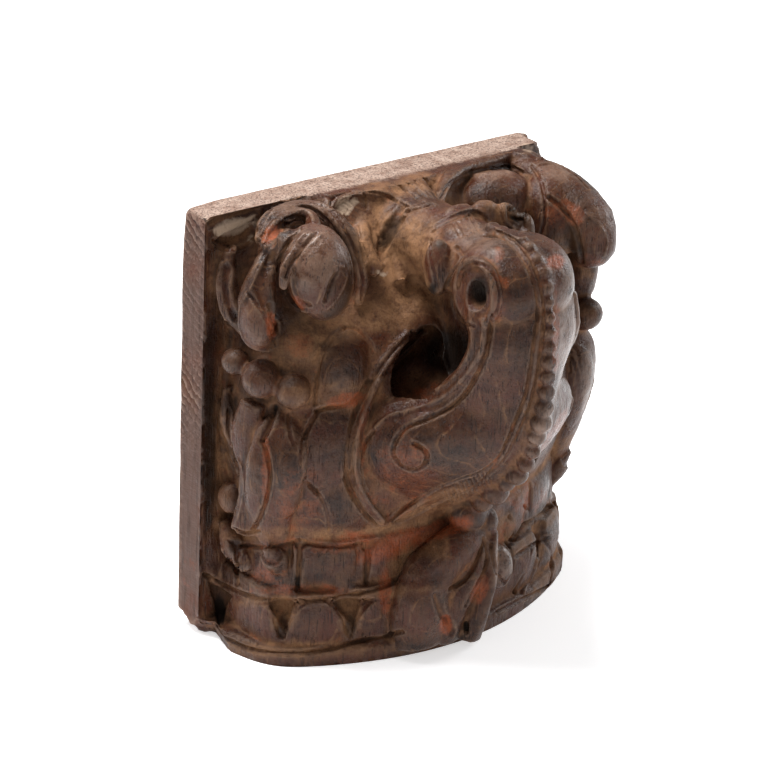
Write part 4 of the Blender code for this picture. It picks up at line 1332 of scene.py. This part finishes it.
def make_studio():
    """The floor, the sky and the lights."""
    floor = bmesh.new()
    bmesh.ops.create_grid(floor, x_segments=1, y_segments=1, size=FLOOR_HALF_SIZE)
    mesh = bpy.data.meshes.new("floor")
    floor.to_mesh(mesh)
    floor.free()
    item = add_object("floor", mesh)
    pale = bpy.data.materials.new("pale_floor")
    pale.use_nodes = True
    shader = pale.node_tree.nodes["Principled BSDF"].inputs
    shader["Base Color"].default_value = FLOOR_COLOUR
    shader["Roughness"].default_value = FLOOR_ROUGHNESS
    shader["Emission Color"].default_value = WHITE
    shader["Emission Strength"].default_value = FLOOR_GLOW
    mesh.materials.append(pale)
    world = bpy.data.worlds.new("studio")
    bpy.context.scene.world = world
    world.use_nodes = True
    sky = world.node_tree.nodes["Background"].inputs
    sky["Color"].default_value = WHITE
    sky["Strength"].default_value = SKY_STRENGTH
    for light in LIGHTS:
        add_light(*light)
    bpy.context.scene.view_settings.view_transform = "Standard"


class Value:
    """A number that varies over the wood; reckoning with it adds Math nodes."""

    def __init__(self, finish, socket):
        self.finish = finish
        self.socket = socket

    def reckon(self, operation, *values):
        """The outcome of one Math node."""
        node = self.finish.node("ShaderNodeMath", {"operation": operation}, dict(enumerate(values)))
        return Value(self.finish, node.outputs[0])

    def __add__(self, other):
        return self.reckon("ADD", self, other)

    def __sub__(self, other):
        return self.reckon("SUBTRACT", self, other)

    def __rsub__(self, other):
        return self.reckon("SUBTRACT", other, self)

    def __mul__(self, other):
        return self.reckon("MULTIPLY", self, other)

    __radd__ = __add__
    __rmul__ = __mul__

    def between(self, low, high):
        """0 below low, 1 above high, and even in between."""
        values = {0: self, 1: low, 2: high, 3: 0.0, 4: 1.0}
        return Value(self.finish, self.finish.node("ShaderNodeMapRange", {"clamp": True}, values).outputs[0])


class Finish:
    """A material whose nodes are added one at a time."""

    def __init__(self, name):
        self.material = bpy.data.materials.new(name)
        self.material.use_nodes = True
        self.tree = self.material.node_tree
        self.shader = self.tree.nodes["Principled BSDF"]
        self.place = self.node("ShaderNodeTexCoord", {}, {}).outputs["Object"]

    def node(self, kind, settings, values):
        """Add a node with its settings, and feed its inputs, by name or number."""
        node = self.tree.nodes.new(kind)
        for name, setting in settings.items():
            setattr(node, name, setting)
        for name, value in values.items():
            self.feed(node.inputs[name], value)
        return node

    def feed(self, socket, value):
        """Link an input to a value that varies, or set it to one that does not."""
        if isinstance(value, Value):
            value = value.socket
        if isinstance(value, bpy.types.NodeSocket):
            self.tree.links.new(value, socket)
        elif isinstance(value, tuple) and len(value) == 3 and socket.type == "RGBA":
            socket.default_value = (*value, 1.0)
        else:
            socket.default_value = value

    def mark(self, name):
        """A value that was left on the skin."""
        return Value(self, self.node("ShaderNodeAttribute", {"attribute_name": name}, {}).outputs["Fac"])

    def grain(self, scale, stretch=(1, 1, 1), detail=3.0, roughness=0.55):
        """Noise from 0 to 1; scale is in turns to the metre."""
        mapping = self.node("ShaderNodeMapping", {}, {"Vector": self.place, "Scale": stretch})
        noise_node = self.node("ShaderNodeTexNoise", {}, {"Vector": mapping.outputs[0], "Scale": scale,
                                                          "Detail": detail, "Roughness": roughness})
        return Value(self, noise_node.outputs[0])

    def rings(self, pith, pitch):
        """Growth rings about an upright axis: 1 on each thin pale line, 0 between."""
        def vector_maths(operation, *values):
            node = self.node("ShaderNodeVectorMath", {"operation": operation}, dict(enumerate(values)))
            return node.outputs

        offset = vector_maths("SUBTRACT", self.place, pith)[0]
        flat = vector_maths("MULTIPLY", offset, RING_STRETCH)[0]
        radius = Value(self, vector_maths("LENGTH", flat)["Value"])
        turns = radius * (1 / pitch) + self.grain(30, detail=2.0) * 1.6
        part = turns.reckon("FRACT", turns)
        return part.between(0.84, 0.95) * part.between(1.0, 0.96)

    def lay(self, colour, *coats):
        """Lay coats over a colour one after another; each is how much of it shows, and its own colour."""
        for share, coat in coats:
            values = {0: share, 6: colour, 7: coat}
            colour = self.node("ShaderNodeMix", {"data_type": "RGBA"}, values).outputs[2]
        return colour


# Colours of the wood and what lies on it, and of the painted shade and highlights

DEEP_BROWN = (0.021, 0.0070, 0.0032)
RED_BROWN = (0.066, 0.0180, 0.0085)
WARM_BROWN = (0.080, 0.0330, 0.0145)
# Grey for streaks in the grain, and for a painted sheen on the raised edges.
GREY_STREAK_AND_SHEEN = (0.066, 0.035, 0.022)
# Tan of the painted highlight along the raised edges; the same tan makes pale specks.
EDGE_HIGHLIGHT_AND_SPECK_TAN = (0.170, 0.098, 0.062)
# Lighter brown of the worn spots: partly wear, partly a painted highlight.
WORN_HIGHLIGHT_BROWN = (0.190, 0.112, 0.076)
OCHRE_DUST = (0.240, 0.120, 0.056)
OLD_PAINT = (0.250, 0.056, 0.017)
# Near-black painted shade for the deep hollows.
PAINTED_SHADE_BLACK = (0.0065, 0.0028, 0.0010)
SIDE_PURPLE = (0.092, 0.050, 0.037)
SIDE_RED = (0.098, 0.038, 0.023)
END_TAN = (0.38, 0.275, 0.22)
SAW_RIDGE_HIGHLIGHT_TAN = (0.30, 0.195, 0.145)
# Tan of the painted highlight on the ridges of the saw marks on the sides.
END_BROWN = (0.215, 0.130, 0.095)
FRESH_STRAW = (0.43, 0.31, 0.22)
PORE_DARK = (0.012, 0.006, 0.004)
PITH = (0.07, 0.26, 0.0)
RING_PITCH = 0.0046
RING_STRETCH = (1.0, 1.0, 0.04)

# How the skin shines and how rough it feels; lengths are in metres

SPECULAR = 0.22
COAT_ROUGHNESS = 0.24
LEAST_ROUGHNESS = 0.23
ROUGHNESS_RANGE = 0.55
BUMP_STRENGTH = 0.75
BUMP_HEIGHT = 0.001


def make_wood_finish():
    """Dark aged hardwood: bare wood with painted sheen and highlights on its edges and worn spots, its sawn
    sides and top, then dust, old paint, painted shade in the deep hollows and splinters.
    """
    finish = Finish("aged_hardwood")
    hollow, edge, dust = finish.mark("hollow"), finish.mark("edge"), finish.mark("dust")
    sawn, end_grain, worn = finish.mark("sawn"), finish.mark("end_grain"), finish.mark("worn")
    patchy = finish.grain(38, detail=6.0, roughness=0.6)
    mottled = finish.grain(170, detail=5.0, roughness=0.65)
    blotches = finish.grain(110, detail=4.0, roughness=0.7)
    specks = finish.grain(800, detail=3.0, roughness=0.75)
    streaks = finish.grain(420, stretch=(1, 1, 0.09), detail=5.0, roughness=0.65)
    pores = finish.grain(1400, stretch=(1, 1, 0.06), detail=2.0)
    rings = finish.rings(PITH, RING_PITCH)

    # Painted sheen: grey laid on the raised edges where the wax would catch the light, with a little random
    # grey bloom mixed in.
    painted_sheen_and_bloom = (edge.between(0.1, 0.9) * 0.5 + mottled.between(0.54, 0.72) * 0.25).between(0.0, 1.0)
    bare = finish.lay(
        DEEP_BROWN,
        (patchy.between(0.40, 0.58), RED_BROWN),
        (blotches.between(0.42, 0.66) * 0.75, WARM_BROWN),
        (streaks.between(0.5, 0.74) * 0.4, GREY_STREAK_AND_SHEEN),
        (streaks.between(0.46, 0.3) * 0.5, DEEP_BROWN),
        (painted_sheen_and_bloom, GREY_STREAK_AND_SHEEN),
        # Painted highlight: a tan line along the sharpest raised edges.
        (edge.between(0.35, 1.0) * mottled.between(0.35, 0.6) * 0.6, EDGE_HIGHLIGHT_AND_SPECK_TAN),
        (rings * mottled.between(0.4, 0.62) * 0.4, OCHRE_DUST),
        # Worn spots made lighter: partly wear, partly a painted highlight.
        (worn * mottled.between(0.3, 0.6) * 0.85, WORN_HIGHLIGHT_BROWN),
        (pores.between(0.60, 0.68) * 0.7, PORE_DARK),
        (specks.between(0.66, 0.74) * 0.4, EDGE_HIGHLIGHT_AND_SPECK_TAN),
    )
    side = finish.lay(
        SIDE_PURPLE,
        (patchy.between(0.5, 0.66), SIDE_RED),
        (streaks.between(0.5, 0.68) * 0.6, DEEP_BROWN),
        # Painted highlight on the ridges of the saw marks, and painted shade in their grooves.
        (edge.between(0.1, 0.9) * 0.5, SAW_RIDGE_HIGHLIGHT_TAN),
        (edge.between(-0.1, -0.9) * 0.8, DEEP_BROWN),
    )
    top = finish.lay(
        END_BROWN,
        (mottled.between(0.35, 0.62), END_TAN),
        (specks.between(0.50, 0.62) * 0.75, DEEP_BROWN),
    )

    dusty = hollow.between(0.0, 0.5) * 0.5 + dust * 0.95
    dusty = dusty * mottled.between(0.25, 0.58) * specks.between(0.15, 0.5)
    rust = blotches.between(0.48, 0.68) * hollow.between(-0.05, 0.3) * 0.25
    paint = (finish.mark("paint") * 1.1 + blotches * 1.6 - 0.95).between(0.0, 1.0)
    paint = paint * specks.between(0.15, 0.6) + rust
    # Painted shade: the deepest hollows, and the shade ovals, are darkened almost to black.
    painted_shade = hollow.between(0.6, 1.2) * 0.8 * (1 - dust) + finish.mark("painted_shade_mark")
    fresh = (finish.mark("fresh") * 1.2 + streaks - 0.5).between(0.35, 0.9)
    wood = finish.lay(
        bare,
        (sawn, side),
        (dusty.between(0.0, 1.0), OCHRE_DUST),
        (paint.between(0.1, 0.75) * 0.85, OLD_PAINT),
        (painted_shade.between(0.0, 1.0) * 0.95, PAINTED_SHADE_BLACK),
        (end_grain, top),
        (fresh, FRESH_STRAW),
    )

    dull = hollow.between(0.0, 0.7) + sawn + end_grain + dust * 0.6 + mottled.between(0.35, 0.75) * 0.7
    polish = worn * mottled.between(0.3, 0.55) * 0.4
    height = (specks * 0.4 + streaks * 0.7 + mottled * 0.8 + pores.between(0.7, 0.6) * 0.35
              + sawn * finish.grain(1100, stretch=(1, 0.2, 1), detail=3.0) * 0.8 + end_grain * specks * 1.2)
    bump = finish.node("ShaderNodeBump", {},
                       {"Height": height, "Strength": BUMP_STRENGTH, "Distance": BUMP_HEIGHT})
    shader = finish.shader.inputs
    finish.feed(shader["Base Color"], wood)
    finish.feed(shader["Roughness"], dull.between(0.0, 1.5) * ROUGHNESS_RANGE + LEAST_ROUGHNESS)
    finish.feed(shader["Coat Weight"], (polish * (1 - dust)).between(0.0, 1.0))
    finish.feed(shader["Normal"], bump.outputs[0])
    shader["Specular IOR Level"].default_value = SPECULAR
    shader["Coat Roughness"].default_value = COAT_ROUGHNESS
    return finish.material


def make_corbel():
    """Carve the block, weather it, thin out its skin and give it its finish."""
    item = carve_block()
    wood = Wood(item)
    for work in (shape_ground, carve_strokes, weather, wear_corners):
        work(wood)
        wood.settle()
    keep_marks(wood)
    thin_out(item)
    for vertex in item.data.vertices:
        vertex.co = Vector(np.clip(np.array(vertex.co), LOW * MM, HIGH * MM))
    item.data.materials.clear()
    item.data.materials.append(make_wood_finish())
    item.data.shade_smooth()
    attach(item, "root")
    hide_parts("carved_corbel")


make_camera()
make_studio()
make_corbel()
